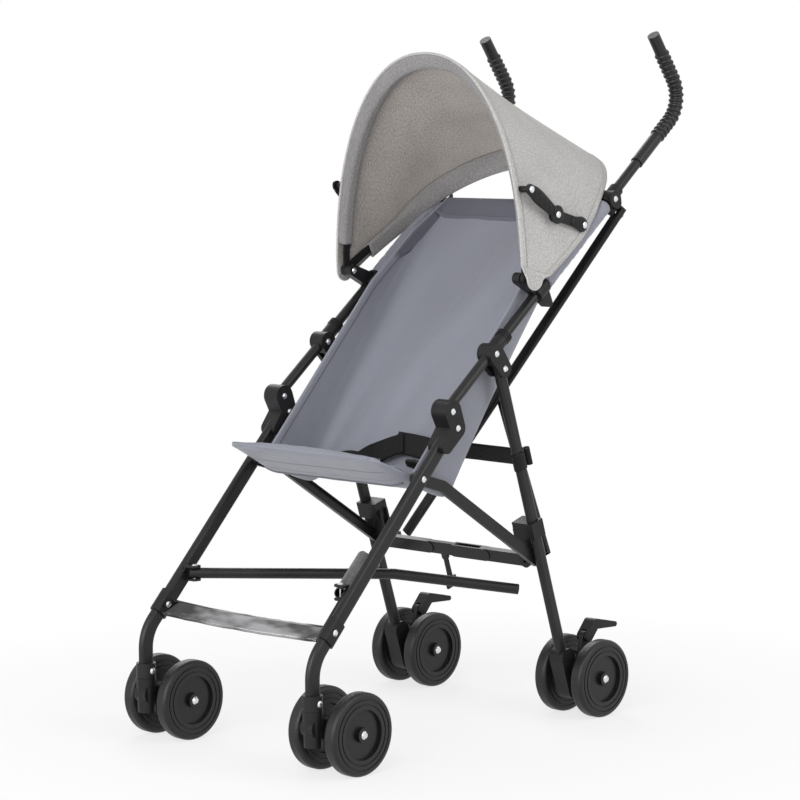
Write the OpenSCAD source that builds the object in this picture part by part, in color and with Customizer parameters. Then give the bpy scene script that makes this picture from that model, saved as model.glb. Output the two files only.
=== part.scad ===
// Umbrella stroller with crook handles, paired swivel wheels, a sling seat and a folding canopy

/* [Frame] */
// Distance between the two side frames, centre to centre
track = 352; // [346:1:360]
// Outer diameter of the handle tubes
tube_d = 16; // [15.5:0.1:16.5]
// Wall of all frame tubes
tube_wall = 1.5; // [1:0.1:2]
// Slope of the handle tubes above the floor, in degrees
handle_slope = 38.8; // [38.4:0.1:39.2]
// Height of the rivet that holds the hinge bracket
hinge_z = 573.3; // [570:0.1:576]
// Length along the handle from the knee up to the hinge bracket
knee_span = 124; // [122:0.5:126]
// Length along the handle from the hinge bracket up to the brace bracket
brace_span = 352; // [348:1:356]
// Length along the handle from the hinge bracket to the corner of the crook
crook_span = 587; // [575:1:600]
// Bend radius of the crook
crook_r = 48; // [44:1:52]
// Direction of the handle tip, in degrees from straight back
tip_slope = 126; // [120:1:132]
// Length from the corner of the crook to the tip of the tube
tip_len = 126; // [120:1:140]
// Width of the flat-oval front leg
leg_w = 24; // [23:0.5:25]
// Thickness of the flat-oval front leg
leg_t = 13; // [12.5:0.1:13.5]
// Slope of the front leg, in degrees
leg_slope = 46.83; // [46.5:0.01:47.2]
// Bend radius of the front leg above its caster
leg_bend_r = 60; // [55:1:66]
// Width of the flat-oval rear leg
rear_w = 20; // [19:0.5:21]
// Thickness of the flat-oval rear leg
rear_t = 12; // [11.5:0.1:12.4]
// Slope of the rear leg, in degrees
rear_slope = 72.4; // [72:0.1:72.8]
// Length along the rear leg from its pivot to the cross bar
cross_span = 315; // [312:1:318]
// Width of the flat-oval brace tubes
brace_w = 18; // [17:0.5:19]
// Thickness of the flat-oval brace tubes
brace_t = 10; // [9.5:0.1:10.4]
// Diameter of the floor bars
floor_d = 16; // [15:0.5:16.5]

/* [Wheels] */
// Diameter of all eight wheels
wheel_d = 120; // [116:1:122]
// Width of a tyre
tyre_w = 22; // [20:0.5:24]
// Distance between the two wheels of a pair, centre to centre
pair_gap = 72; // [70:1:76]
// Diameter of the wheel axles
axle_d = 8; // [7:0.5:9]
// Distance from a caster's swivel line back to its axle
trail = 54; // [52:1:56]
// Distance between front and rear axles
wheelbase = 530; // [528:1:533]

/* [Seat] */
// Height of the front edge of the seat
seat_front_z = 434; // [430:1:440]
// Lowest height of the seat
seat_low_z = 357; // [354:1:362]
// Thickness of the sling cloth
cloth_t = 3; // [2:0.5:4]

/* [Canopy] */
// Height of the canopy's top above its pivots
canopy_rise = 337; // [330:1:344]
// Half the width of the canopy at its front hem
canopy_half = 195; // [194.6:0.1:197]
// Reach of the canopy's rear hem from its pivots
canopy_back = 340; // [334:1:346]
// Thickness of the canopy cloth with its lining
canopy_t = 2.5; // [2:0.1:2.6]

/* [Hidden] */
$fn = 48;
// Running clearance on a diameter, side clearance, and the overrun of all cuts
fit = 0.1;
gap = 0.3;
over = 1;
// Height of the hairline ring where two runs of a tube meet
seam = 0.05;
black = [0.12, 0.12, 0.13];
satin = [0.2, 0.2, 0.21];
steel = [0.78, 0.78, 0.8];
cloth = [0.55, 0.56, 0.6];
roof = [0.78, 0.77, 0.76];

// Heights and places of the side frame, from the front axle
half = track / 2;
wheel_r = wheel_d / 2;
hinge_y = 320;
hinge_drop = 30;
brace_drop = 31;
leg_top_y = 234;
leg_top_z = 470.6;
link_span = 95;
floor_span = 305;
foot_span = 367;
rear_len = 543;
rear_y = hinge_y + hinge_drop * sin(handle_slope);
rear_z = hinge_z - hinge_drop * cos(handle_slope);
crook_turn = tip_slope - handle_slope;
crook_start = crook_span - crook_r * tan(crook_turn / 2);
tip_run = tip_len - crook_r * tan(crook_turn / 2);
leg_turn = 90 - leg_slope;
leg_corner = (leg_top_y + trail) / cos(leg_slope);
leg_corner_z = leg_top_z - leg_corner * sin(leg_slope);
leg_bend = leg_bend_r * tan(leg_turn / 2);
leg_run = leg_corner - leg_bend;
leg_bend_z = leg_corner_z - leg_bend;

// Grips
sleeve_d = 20;
rib_d = 24;
rib_w = 6;
rib_pitch = 9.2;
ribs_below = 4;
ribs_round = 8;
ribs_above = 5;
sleeve_gap = 86;
sleeve_span = brace_span + sleeve_gap;
grip_end = 29;
grip_end_d = 19.5;
grip_cap = 3;
grip_back = handle_at(crook_start)[1] - crook_r * sin(handle_slope) + crook_r + rib_d / 2;

// Rivets and pins
rivet_d = 5;
pivot_d = 6;
head_d = 9.5;
head_h = 2;

// Brackets
knee_w = 29;
knee_r = 17;
knee_leg_r = 15;
knee_tail = 34;
knee_tail_r = 11;
tube_end = 10;
hinge_w = 27;
hinge_r = 15;
hinge_leg_r = 13;
hinge_sleeve = 42;
hinge_sleeve_d = 22;
slot_start = 11.5;
slot_reach = 40;
ridge_h = 2;
ridge_pitch = 4;
ridge_d = 24;
ridges = 3;
brace_body_r = 13;
brace_body_drop = 8;
brace_tail_r = 9;
brace_sleeve = 35;
brace_sleeve_low = 12;
lug_d = 18;
lug_reach = 20;
clamp_span = 141;
clamp_w = 26;
clamp_r = 12.5;
clamp_arm_w = 14;
clamp_arm_r = 9;
clamp_lever = 26;
clamp_lever_r = 6;
clamp_lever_w = 16;

// Canopy pivot and bows
canopy_y = 385;
canopy_z = 681;
bow_t = 3;
bow_w = 12;
bow_inset = 7;
bow_step = 3.4;
front_bow_drop = 17;
rear_bow_drop = 10;
rear_bow_angle = 31;
front_shape = 2.2;
rear_shape = 2.7;
front_hem_ahead = 13.4;
front_hem_angle = 91;
rear_hem_wide = 7.5;
rear_hem_after = [5.8, -3];
rear_hem_angle = 33.6;
hem_angle = 2.6;
half_turn = 180;
eye_d = 17;
cover_rows = 9;
cover_steps = 24;

// Stays of the canopy
stay_t = 3;
stay_r = 8;
stay_hub_r = 12;
stay_seat = 6.2;
stay_rear = [505, 757];
stay_knee = [440, 775];
stay_front = [380, 814];

// The way square to the handle, back and down
behind = [0, sin(handle_slope), -cos(handle_slope)];

// Braces: the direction at rest, the line they swing about, and the way they pass each other
brace_in = 26.5;
brace_out = 4;
brace_back = 40;
brace_low = 13.6;
brace_fold = [-0.46388, -0.73907, 0.48846];
brace_ahead = 2;
brace_after = -10.4;
brace_end = 12;
brace_short = 8;
brace_top = [half + brace_out, (handle_at(brace_span) + brace_drop * behind)[1],
             (handle_at(brace_span) + brace_drop * behind)[2]];
brace_foot = [-half + brace_in, rear_at(cross_span + brace_low)[1] + brace_back * sin(rear_slope),
              rear_at(cross_span + brace_low)[2] + brace_back * cos(rear_slope)];
brace_line = unit(brace_foot - brace_top);
brace_face = unit(cross([1, 0, 0], brace_line));
brace_wide = unit(cross(brace_line, brace_face));
brace_lean = sqrt(1 - pow(brace_face * brace_fold, 2));
brace_len = norm(brace_foot - brace_top);

// Links and bars
link_w = 17;
link_t = 8;
link_wall = 1.6;
link_in = 11;
link_bend_y = 226;
link_bend_z = 384;
link_tail = 2;
floor_in = 22.5;
floor_high = 252;
floor_low = 246;
floor_mid_span = 300;
floor_mid_rise = 4;
floor_mid_drop = 10;
floor_high_end = 213;
floor_low_end = 207;
floor_reach = 490;
floor_angle = 38.5;
floor_end = 8;
lug_t = 3;
lug_r = 9;
cross_w = 20;
cross_t = 10;
cross_in = 26;
cross_half = half - cross_in;
cross_lap = 10;
cross_lap_len = 65;
tongue_t = 7;
fork_t = 2.4;
collar_low = 41;
collar_h = 26;
collar_w = 26;
collar_out = 9;
collar_in = 31;
arm_out = 16.4;
arm_w = 18;
arm_r = 10;
horn_clear = 8;
lever_along = 124;
lever_drop = 15;
lever_t = 2.6;
lever_len = 44;
lever_r = 5;
lever_pin_d = 4;
pedal_w = 22;
pedal_t = 4;
pedal_h = 16;

// Feet
socket_d = 29;
socket_low = 97;
socket_top = 119;
leg_end = 101;
stem_d = 12;
stem_low = 58;
caster_top_d = 30;
caster_low_d = 26;
caster_low = 45;
caster_w = 25;
caster_arm_z = 73;
caster_arm_r = 14;
axle_r = 15;
hub_w = 26;
hub_leg_r = 15;
hub_top = rear_len - 65;
hub_low = rear_len - 12;
ear_w = 8;
ear_r = 9;
brake_y = 537;
brake_z = 120;
brake_w = 20;
brake_knee = [553, 138];
brake_tip = [599, 132];
brake_r = 8;
brake_tip_r = 4;
brake_clear_r = 11;
foot_plate_t = 4;
foot_plate_w = 18;
foot_sleeve_w = 30;
foot_sleeve_t = 19;
foot_sleeve_h = 36;
strap_w = 28;
strap_t = 2;
strap_sag = 14;
strap_tilt = 35;
strap_y = -20;
strap_z = 199;

// Wheel profile
tyre_round = 6;
disc_r = 36;
disc_w = 12;
boss_d = 22;
boss_side = 1;
groove_w = 2;
groove_deep = 1.2;
groove_shares = [0.7, 0.82];
cap_d = 12;
cap_h = 2;
boss_in_front = pair_gap / 2 - caster_w / 2 - gap;
boss_in_rear = pair_gap / 2 - hub_w / 2 - gap;

// Seat places
seat_front_y = 105;
seat_mid_y = 200;
seat_mid_z = 352;
seat_low_y = 268;
back_mid_y = 310;
back_mid_z = 450;
back_top_y = 592;
back_top_z = 788;
seat_side = 17.2;
seat_steps = 10;
wing_leg_span = 82;

// The part stands with the middle of its length on the origin
origin_y = (grip_back - trail - caster_top_d / 2) / 2;

// Directions and places along the frame tubes
function unit(v) = v / norm(v);
function handle_at(t) = [0, hinge_y + t * cos(handle_slope), hinge_z + t * sin(handle_slope)];
function leg_at(t) = [0, leg_top_y - t * cos(leg_slope), leg_top_z - t * sin(leg_slope)];
function rear_at(t) = [0, rear_y + t * cos(rear_slope), rear_z - t * sin(rear_slope)];
function flat(p) = [p[1], p[2]];

// Frames of reference: x points outwards, y from the front axle to the back, z up or up the tube
module on_left() translate([half, -origin_y, 0]) children();
module on_right() mirror([1, 0, 0]) on_left() children();
module in_middle() translate([0, -origin_y, 0]) children();
module on_handle(t) translate(handle_at(t)) rotate([handle_slope - 90, 0, 0]) children();
module on_leg(t) translate(leg_at(t)) rotate([leg_slope - 90, 0, 0]) children();
module on_rear(t) translate(rear_at(t)) rotate([90 - rear_slope, 0, 0]) children();
module across(p) translate(p) rotate([0, 90, 0]) children();
// Turns z, y and x of a shape to the given unit directions
module aim(p, z, y) {
    x = cross(y, z);
    multmatrix([[x[0], y[0], z[0], p[0]], [x[1], y[1], z[1], p[1]], [x[2], y[2], z[2], p[2]],
        [0, 0, 0, 1]]) children();
}

// Flat shapes
module oval(w, t) {
    square([t, w - t], center = true);
    for (s = [-1, 1]) translate([0, s * (w - t) / 2]) circle(d = t);
}
// A bar with round ends, wider at one end than at the other
module tapered(p, q, r1, r2) {
    u = unit(q - p);
    lean = (r1 - r2) / norm(q - p);
    n = [-u[1], u[0]] * sqrt(1 - lean * lean);
    translate(p) circle(r = r1);
    translate(q) circle(r = r2);
    polygon([p + r1 * (u * lean + n), p + r1 * (u * lean - n), q + r2 * (u * lean - n),
        q + r2 * (u * lean + n)]);
}
// Gives a shape drawn in y and z its width in x
module side_plate(w) rotate(a = 120, v = [1, 1, 1]) linear_extrude(w, center = true) children();
module bend(r, angle)
    translate([0, -r, 0]) rotate(a = 120, v = [1, 1, 1]) rotate_extrude(angle = angle, $fn = 96)
        translate([r, 0]) children();
module past_bend(r, angle) translate([0, -r, 0]) rotate([angle, 0, 0]) translate([0, r, 0]) children();

// The handle's run from a low point to its tip
module handle_run(d, low, more) on_handle(crook_start) {
    translate([0, 0, low - crook_start]) cylinder(d = d, h = crook_start - low);
    round_seam(d);
    bend(crook_r, crook_turn) circle(d = d);
    past_bend(crook_r, crook_turn) {
        round_seam(d);
        cylinder(d = d, h = tip_run + more);
    }
}
module round_seam(d) translate([0, 0, -seam]) cylinder(d = d + 2 * seam, h = 2 * seam);

module pin_holes(points, d) for (p = points) across(p - [hinge_w, 0, 0]) cylinder(d = d, h = 2 * hinge_w);

module handle_tube() color(satin) difference() {
    handle_run(tube_d, -knee_span - tube_end, 0);
    handle_run(tube_d - 2 * tube_wall, -knee_span - tube_end - over, over);
    pin_holes([handle_at(-knee_span), handle_at(0), handle_at(brace_span)], rivet_d + fit);
}

module rib() rotate_extrude() translate([rib_d / 2 - rib_w / 2, 0]) circle(d = rib_w);

module grip() color(black) difference() {
    on_handle(crook_start) {
        translate([0, 0, sleeve_span - crook_start]) cylinder(d = sleeve_d, h = crook_start - sleeve_span);
        for (i = [1:ribs_below]) translate([0, 0, -i * rib_pitch]) rib();
        bend(crook_r, crook_turn) circle(d = sleeve_d);
        for (i = [0:ribs_round]) past_bend(crook_r, crook_turn * i / ribs_round) rib();
        past_bend(crook_r, crook_turn) {
            cylinder(d = sleeve_d, h = tip_run - grip_end);
            cylinder(d = grip_end_d, h = tip_run + grip_cap);
            for (i = [1:ribs_above]) translate([0, 0, i * rib_pitch]) rib();
        }
    }
    handle_run(tube_d + fit, sleeve_span - over, gap);
}

module leg_run_shape(w, t, low, top) translate([0, -trail, leg_bend_z]) rotate([0, 0, 180]) {
    translate([0, 0, low - leg_bend_z]) linear_extrude(leg_bend_z - low) oval(w, t);
    oval_seam(w, t);
    bend(leg_bend_r, leg_turn) rotate(90) oval(w, t);
    past_bend(leg_bend_r, leg_turn) {
        oval_seam(w, t);
        linear_extrude(leg_run + top) oval(w, t);
    }
}
module oval_seam(w, t) translate([0, 0, -seam]) linear_extrude(2 * seam) oval(w + 2 * seam, t + 2 * seam);

module front_leg() color(satin) difference() {
    leg_run_shape(leg_w, leg_t, leg_end, tube_end);
    leg_run_shape(leg_w - 2 * tube_wall, leg_t - 2 * tube_wall, leg_end - over, tube_end + over);
    pin_holes([leg_at(0), leg_at(link_span), leg_at(foot_span)], rivet_d + fit);
    across([-hinge_w, -trail, (socket_low + socket_top) / 2]) cylinder(d = rivet_d + fit, h = 2 * hinge_w);
}

module knee_bracket() color(black) difference() {
    knee = flat(handle_at(-knee_span));
    side_plate(knee_w) {
        tapered(knee, flat(leg_at(0)), knee_r, knee_leg_r);
        tapered(flat(leg_at(0)), flat(leg_at(knee_tail)), knee_leg_r, knee_tail_r);
    }
    on_handle(-knee_span - tube_end - gap) cylinder(d = tube_d + fit, h = knee_span);
    on_leg(2 * knee_tail) linear_extrude(2 * knee_tail + tube_end + gap) oval(leg_w + fit, leg_t + fit);
    pin_holes([handle_at(-knee_span), leg_at(0)], rivet_d + fit);
}

module hinge_bracket() color(black) difference() {
    union() {
        side_plate(hinge_w) tapered([hinge_y, hinge_z], [rear_y, rear_z], hinge_r, hinge_leg_r);
        on_handle(0) cylinder(d = hinge_sleeve_d, h = hinge_sleeve);
        for (i = [0:ridges - 1]) on_handle(hinge_sleeve - ridge_h - i * ridge_pitch)
            cylinder(d = ridge_d, h = ridge_h);
    }
    on_handle(-slot_reach) cylinder(d = tube_d + fit, h = 2 * slot_reach + hinge_sleeve);
    on_handle(0) translate([-rear_t / 2 - gap, slot_start, -slot_reach])
        cube([rear_t + 2 * gap, slot_reach, 2 * slot_reach]);
    pin_holes([handle_at(0)], rivet_d + fit);
    pin_holes([[0, rear_y, rear_z]], pivot_d + fit);
}

// The lug's face stands off the brace by the way the braces pass each other
module handle_bracket(pass) color(black) difference() {
    top = flat(handle_at(brace_span));
    lug_face = brace_half_along() + gap + pass;
    union() {
        side_plate(hinge_w) tapered(top, top + brace_body_drop * flat(behind), brace_body_r, brace_tail_r);
        on_handle(brace_span - brace_sleeve_low) cylinder(d = hinge_sleeve_d, h = brace_sleeve);
        brace_pivot() translate([0, 0, lug_face]) cylinder(d = lug_d, h = lug_reach - lug_face);
    }
    on_handle(brace_span - slot_reach) cylinder(d = tube_d + fit, h = 2 * slot_reach);
    pin_holes([handle_at(brace_span)], rivet_d + fit);
    brace_pivot() translate([0, 0, -lug_reach]) cylinder(d = rivet_d + fit, h = 2 * lug_reach - over);
}

// The brace's pivot line, seen from its own side frame, before the brace is moved to pass the other
module brace_pivot() translate([-half, 0, 0])
    aim(brace_top, brace_fold, unit(cross(brace_fold, brace_line))) children();
// Half the brace's thickness along its pivot line, for a flat oval that leans to that line
function brace_half_along() = brace_t / 2 + (brace_w - brace_t) / 2 * brace_lean;

// A straight brace from its own side's handle to the other side's rear leg
module brace_tube(pass) color(satin) translate(pass * brace_fold) difference() {
    aim(brace_top - brace_end * brace_line, brace_line, brace_wide) difference() {
        linear_extrude(brace_len + brace_end - brace_short) oval(brace_w, brace_t);
        translate([0, 0, -over]) linear_extrude(brace_len + brace_end - brace_short + 2 * over)
            oval(brace_w - 2 * tube_wall, brace_t - 2 * tube_wall);
    }
    aim(brace_top, brace_fold, brace_line) translate([0, 0, -lug_reach])
        cylinder(d = rivet_d + fit, h = 2 * lug_reach);
}

module rear_leg() color(satin) difference() {
    on_rear(rear_len) linear_extrude(rear_len + tube_end) oval(rear_w, rear_t);
    on_rear(rear_len + over) linear_extrude(rear_len + tube_end + 2 * over)
        oval(rear_w - 2 * tube_wall, rear_t - 2 * tube_wall);
    pin_holes([[0, rear_y, rear_z]], pivot_d + fit);
}

// A collar on the rear leg with a fork that hangs inside the side link and holds the cross bar
module rear_bracket(pass) color(black) difference() {
    union() {
        on_rear(cross_span) {
            translate([-collar_in, -collar_w / 2, collar_low])
                cube([collar_in + collar_out, collar_w, collar_h]);
            rotate([90, 0, 0]) linear_extrude(arm_w, center = true) {
                translate([-cross_in, 0]) circle(r = arm_r);
                translate([-cross_in - arm_r, 0]) square([2 * arm_r - gap, collar_low + collar_h / 2]);
            }
        }
        on_rear(cross_span) translate([-cross_in - arm_r, arm_w / 2 - over, -arm_r / 2])
            cube([arm_r, brace_back - arm_w / 2 - brace_t / 2 - horn_clear - pass / 2, arm_r]);
    }
    on_rear(cross_span) linear_extrude(collar_low + collar_h + over) oval(rear_w + fit, rear_t + fit);
    on_rear(cross_span) translate([-half, -cross_t / 2 - gap, -cross_w])
        cube([half - arm_out + over, cross_t + 2 * gap, cross_w + collar_low]);
    on_rear(cross_span) translate([-half, -cross_t / 2 - gap, 0])
        cube([half - collar_in, cross_t + 2 * gap, collar_low + collar_h + over]);
    on_rear(cross_span) translate([-cross_in, half, 0]) rotate([90, 0, 0])
        cylinder(d = rivet_d + fit, h = track);
}

module rear_hub() color(black) difference() {
    axle = [wheelbase, wheel_r];
    union() {
        side_plate(hub_w) {
            tapered(flat(rear_at(hub_top)), flat(rear_at(hub_low)), hub_leg_r, hub_leg_r);
            tapered(flat(rear_at(hub_low)), axle, hub_leg_r, axle_r);
        }
        side_plate(ear_w) tapered(axle, [brake_y, brake_z], axle_r, ear_r);
    }
    on_rear(rear_len + gap) linear_extrude(rear_len) oval(rear_w + fit, rear_t + fit);
    across([-half, wheelbase, wheel_r]) cylinder(d = axle_d + fit, h = track);
    across([-half, brake_y, brake_z]) cylinder(d = rivet_d + fit, h = track);
}

module brake_lever() color(black) {
    pivot = [brake_y, brake_z];
    difference() {
        side_plate(brake_w) {
            tapered(pivot, brake_knee, brake_r, brake_r);
            tapered(brake_knee, brake_tip, brake_r, brake_tip_r);
        }
        side_plate(ear_w + 2 * gap) translate(pivot) circle(r = brake_clear_r);
    }
    across([-brake_w / 2, brake_y, brake_z]) cylinder(d = rivet_d, h = brake_w);
}

module axle_rod(y) color(steel) {
    reach = pair_gap / 2 + tyre_w / 2 + boss_side + gap;
    across([-reach, y, wheel_r]) cylinder(d = axle_d, h = 2 * reach);
    for (s = [0, 1]) mirror([s, 0, 0]) across([reach, y, wheel_r]) cylinder(d1 = cap_d, d2 = axle_d, h = cap_h);
}

// A foamed wheel: a round-shouldered tyre, a dished disc, ring grooves and a hub
module wheel(y, side, inner_boss) color(black) translate([side * pair_gap / 2, y, wheel_r])
    rotate([0, side * 90, 0]) difference() {
        union() {
            rotate_extrude($fn = 96) difference() {
                union() {
                    translate([0, -tyre_w / 2]) square([wheel_r - tyre_round, tyre_w]);
                    translate([0, tyre_round - tyre_w / 2]) square([wheel_r, tyre_w - 2 * tyre_round]);
                    for (s = [-1, 1]) translate([wheel_r - tyre_round, s * (tyre_w / 2 - tyre_round)])
                        circle(r = tyre_round);
                }
                for (s = [0, 1]) mirror([0, s]) {
                    translate([0, disc_w / 2]) square([disc_r, tyre_w]);
                    for (share = groove_shares) translate([share * wheel_r, tyre_w / 2 - groove_deep])
                        square([groove_w, groove_deep + over]);
                }
            }
            translate([0, 0, -inner_boss]) cylinder(d = boss_d, h = inner_boss + tyre_w / 2 + boss_side);
        }
        translate([0, 0, -pair_gap]) cylinder(d = axle_d + fit, h = 2 * pair_gap);
    }

module caster_socket() color(black) difference() {
    union() {
        translate([0, -trail, socket_low]) cylinder(d = socket_d, h = socket_top - socket_low);
        translate([0, -trail, stem_low + gap]) cylinder(d = stem_d, h = socket_low - stem_low);
    }
    translate([0, -trail, leg_end - gap]) linear_extrude(socket_top) oval(leg_w + fit, leg_t + fit);
    across([-hinge_w, -trail, (socket_low + socket_top) / 2]) cylinder(d = rivet_d + fit, h = 2 * hinge_w);
}

module caster_housing() color(black) difference() {
    union() {
        translate([0, -trail, caster_low]) cylinder(d1 = caster_low_d, d2 = caster_top_d,
            h = socket_low - gap - caster_low);
        side_plate(caster_w) tapered([-trail / 2, caster_arm_z], [0, wheel_r], caster_arm_r, axle_r);
        side_plate(caster_w - over) tapered([-trail, caster_arm_z], [0, wheel_r], caster_arm_r, caster_arm_r);
    }
    translate([0, -trail, stem_low]) cylinder(d = stem_d + fit, h = socket_low);
    across([-half, 0, wheel_r]) cylinder(d = axle_d + fit, h = track);
}

// A channel section, flat at the front leg and then bent down to the rear leg
module side_link() color(satin) difference() {
    start = flat(leg_at(link_span));
    knee = [link_bend_y, link_bend_z];
    rest = flat(rear_at(cross_span));
    last = rest + link_tail * unit(rest - knee);
    translate([-link_in, 0, 0]) side_plate(link_t) {
        tapered(start, knee, link_w / 2, link_w / 2);
        tapered(knee, last, link_w / 2, link_w / 2);
    }
    translate([-link_in - link_wall, 0, 0]) side_plate(link_t) {
        tapered(start, knee, link_w / 2 - link_wall, link_w / 2 - link_wall);
        tapered(knee, last, link_w / 2 - link_wall, link_w / 2 - link_wall);
    }
    pin_holes([leg_at(link_span)], rivet_d + fit);
}

// A bar that leans a little up or down to its middle, and then down to its open end
module floor_bar(start_z, mid_z, end_z) color(satin) translate([-floor_in, leg_at(floor_span)[1], 0]) difference() {
    mid = [-sin(floor_angle) * floor_mid_span, cos(floor_angle) * floor_mid_span, mid_z];
    last = [-sin(floor_angle) * floor_reach, cos(floor_angle) * floor_reach, end_z];
    first = [0, 0, start_z];
    union() {
        rod(first, mid, floor_d, floor_end);
        rod(mid, last, floor_d, 0);
        translate(mid) sphere(d = floor_d + 2 * seam);
    }
    rod(first, mid, floor_d - 2 * tube_wall, floor_end + over);
    rod(mid, last + unit(last - mid), floor_d - 2 * tube_wall, 0);
    translate(mid) sphere(d = floor_d - 2 * tube_wall + 2 * seam);
    cylinder(d = rivet_d + fit, h = 2 * start_z);
}
module rod(p, q, d, more) {
    u = unit(q - p);
    aim(p - more * u, u, unit(cross(u, [1, 0, 0]))) cylinder(d = d, h = norm(q - p) + more);
}

// The fork half and the tongue half meet in a lap at the middle, with a latch under the tongue
module cross_bar(tongue) color(satin) on_rear(cross_span) translate([-cross_in, 0, 0]) difference() {
    solid = cross_half - cross_lap_len + cross_lap;
    union() {
        rotate([90, 0, 0]) linear_extrude(cross_t, center = true)
            tapered([-solid, 0], [0, 0], cross_w / 2, cross_w / 2);
        rotate([90, 0, 0]) linear_extrude(tongue ? tongue_t : tongue_t + 2 * gap + 2 * fork_t, center = true)
            tapered([-cross_half, 0], [-solid + cross_lap, 0], cross_w / 2, cross_w / 2);
        if (tongue) rotate([90, 0, 0]) linear_extrude(tongue_t, center = true)
            tapered([-lever_along, 0], [-lever_along, -lever_drop], lever_r, lever_r);
    }
    if (!tongue) translate([-half - solid - 2 * gap, -tongue_t / 2 - gap, -cross_w])
        cube([half, tongue_t + 2 * gap, 2 * cross_w]);
    if (tongue) translate([-lever_along - cross_w, -lever_t / 2 - gap, -2 * cross_w])
        cube([2 * cross_w, lever_t + 2 * gap, 2 * cross_w - cross_w / 2 - gap]);
    translate([0, half, 0]) rotate([90, 0, 0]) cylinder(d = rivet_d + fit, h = track);
    translate([-lever_along, half, -lever_drop]) rotate([90, 0, 0])
        cylinder(d = lever_pin_d + fit, h = track);
}

module lock_lever() color(black) on_rear(cross_span) translate([-cross_in - lever_along, 0, -lever_drop]) {
    rotate([90, 0, 0]) linear_extrude(lever_t, center = true)
        tapered([0, 0], [0, -lever_len], lever_r - 2 * gap, lever_r);
    translate([-pedal_t / 2, -pedal_w / 2, -lever_len - pedal_h / 2]) cube([pedal_t, pedal_w, pedal_h]);
    rotate([90, 0, 0]) cylinder(d = lever_pin_d, h = tongue_t, center = true);
}

// A rail inside the front leg with a clevis for the floor bar and a sleeve for the foot strap
module foot_bracket(bar_z) color(black) difference() {
    pin = leg_at(floor_span);
    inner = leg_t / 2 + gap / 2;
    union() {
        on_leg(foot_span + foot_sleeve_h / 4) translate([-inner - foot_plate_t, -foot_plate_w / 2, 0])
            cube([foot_plate_t, foot_plate_w, foot_sleeve_h / 4 + foot_span - floor_span + lug_r]);
        on_leg(foot_span + foot_sleeve_h / 2) linear_extrude(foot_sleeve_h) oval(foot_sleeve_w, foot_sleeve_t);
        for (s = [-1, 1]) translate([0, pin[1], bar_z + s * (floor_d / 2 + gap + lug_t / 2) - lug_t / 2]) {
            translate([-floor_in, 0, 0]) cylinder(r = lug_r, h = lug_t);
            translate([-floor_in, -lug_r, 0]) cube([floor_in - inner - foot_plate_t / 2, 2 * lug_r, lug_t]);
        }
    }
    on_leg(2 * foot_span) linear_extrude(2 * foot_span) oval(leg_w + fit, leg_t + fit);
    pin_holes([leg_at(foot_span)], rivet_d + fit);
    translate([-floor_in, pin[1], 0]) cylinder(d = rivet_d + fit, h = 2 * bar_z);
}

module canopy_clamp() color(black) difference() {
    seat = flat(handle_at(clamp_span));
    union() {
        on_handle(clamp_span - clamp_r) cylinder(d = clamp_w, h = 2 * clamp_r);
        side_plate(clamp_arm_w) tapered(seat, [canopy_y, canopy_z], clamp_r, clamp_arm_r);
        side_plate(clamp_lever_w) tapered(seat, seat + clamp_lever * flat(behind), clamp_r, clamp_lever_r);
    }
    on_handle(clamp_span - slot_reach) cylinder(d = tube_d + fit, h = 2 * slot_reach);
    pin_holes([[0, canopy_y, canopy_z]], pivot_d + fit);
}

// A pin across the side frame, with a head at each end
module rivet(p, d, inside, outside) {
    across(p - [inside + head_h, 0, 0]) cylinder(d = d, h = inside + outside + 2 * head_h);
    across(p + [outside + gap / 2, 0, 0]) cylinder(d1 = head_d, d2 = d, h = head_h);
    across(p - [inside + head_h + gap / 2, 0, 0]) cylinder(d1 = d, d2 = head_d, h = head_h);
}

module frame_rivets(pass, bar_z) color(steel) {
    rivet(handle_at(-knee_span), rivet_d, knee_w / 2, knee_w / 2);
    rivet(leg_at(0), rivet_d, knee_w / 2, knee_w / 2);
    rivet(handle_at(0), rivet_d, hinge_w / 2, hinge_w / 2);
    rivet([0, rear_y, rear_z], pivot_d, hinge_w / 2, hinge_w / 2);
    rivet(handle_at(brace_span), rivet_d, hinge_w / 2, hinge_w / 2);
    rivet(leg_at(link_span), rivet_d, link_in + link_t / 2 + gap, leg_t / 2);
    rivet(leg_at(foot_span), rivet_d, leg_t / 2 + gap / 2 + foot_plate_t, foot_sleeve_t / 2);
    rivet([0, -trail, (socket_low + socket_top) / 2], rivet_d, socket_d / 2, socket_d / 2);
    rivet([0, canopy_y, canopy_z], pivot_d, clamp_arm_w / 2, canopy_half - half - bow_inset + 2 * bow_step);
    pin = leg_at(floor_span);
    clevis = floor_d / 2 + gap + lug_t;
    translate([-floor_in, pin[1], bar_z - clevis - head_h]) cylinder(d = rivet_d, h = 2 * (clevis + head_h));
    translate([-floor_in, pin[1], bar_z + clevis + gap / 2]) cylinder(d1 = head_d, d2 = rivet_d, h = head_h);
    brace_head = brace_half_along() - pass + gap;
    brace_pivot() {
        translate([0, 0, -brace_head]) cylinder(d = rivet_d, h = brace_head + lug_reach - 2 * over);
        translate([0, 0, -brace_head - head_h]) cylinder(d1 = rivet_d, d2 = head_d, h = head_h);
    }
}

// Superelliptic arches across the canopy, as [sideways, out from the pivot line]
function arch(w, h, n, a) = [w * sign(cos(a)) * pow(abs(cos(a)), 2 / n), h * pow(sin(a), 2 / n)];
module canopy_plane(angle) translate([0, canopy_y, canopy_z]) rotate([angle - 90, 0, 0]) children();

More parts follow.
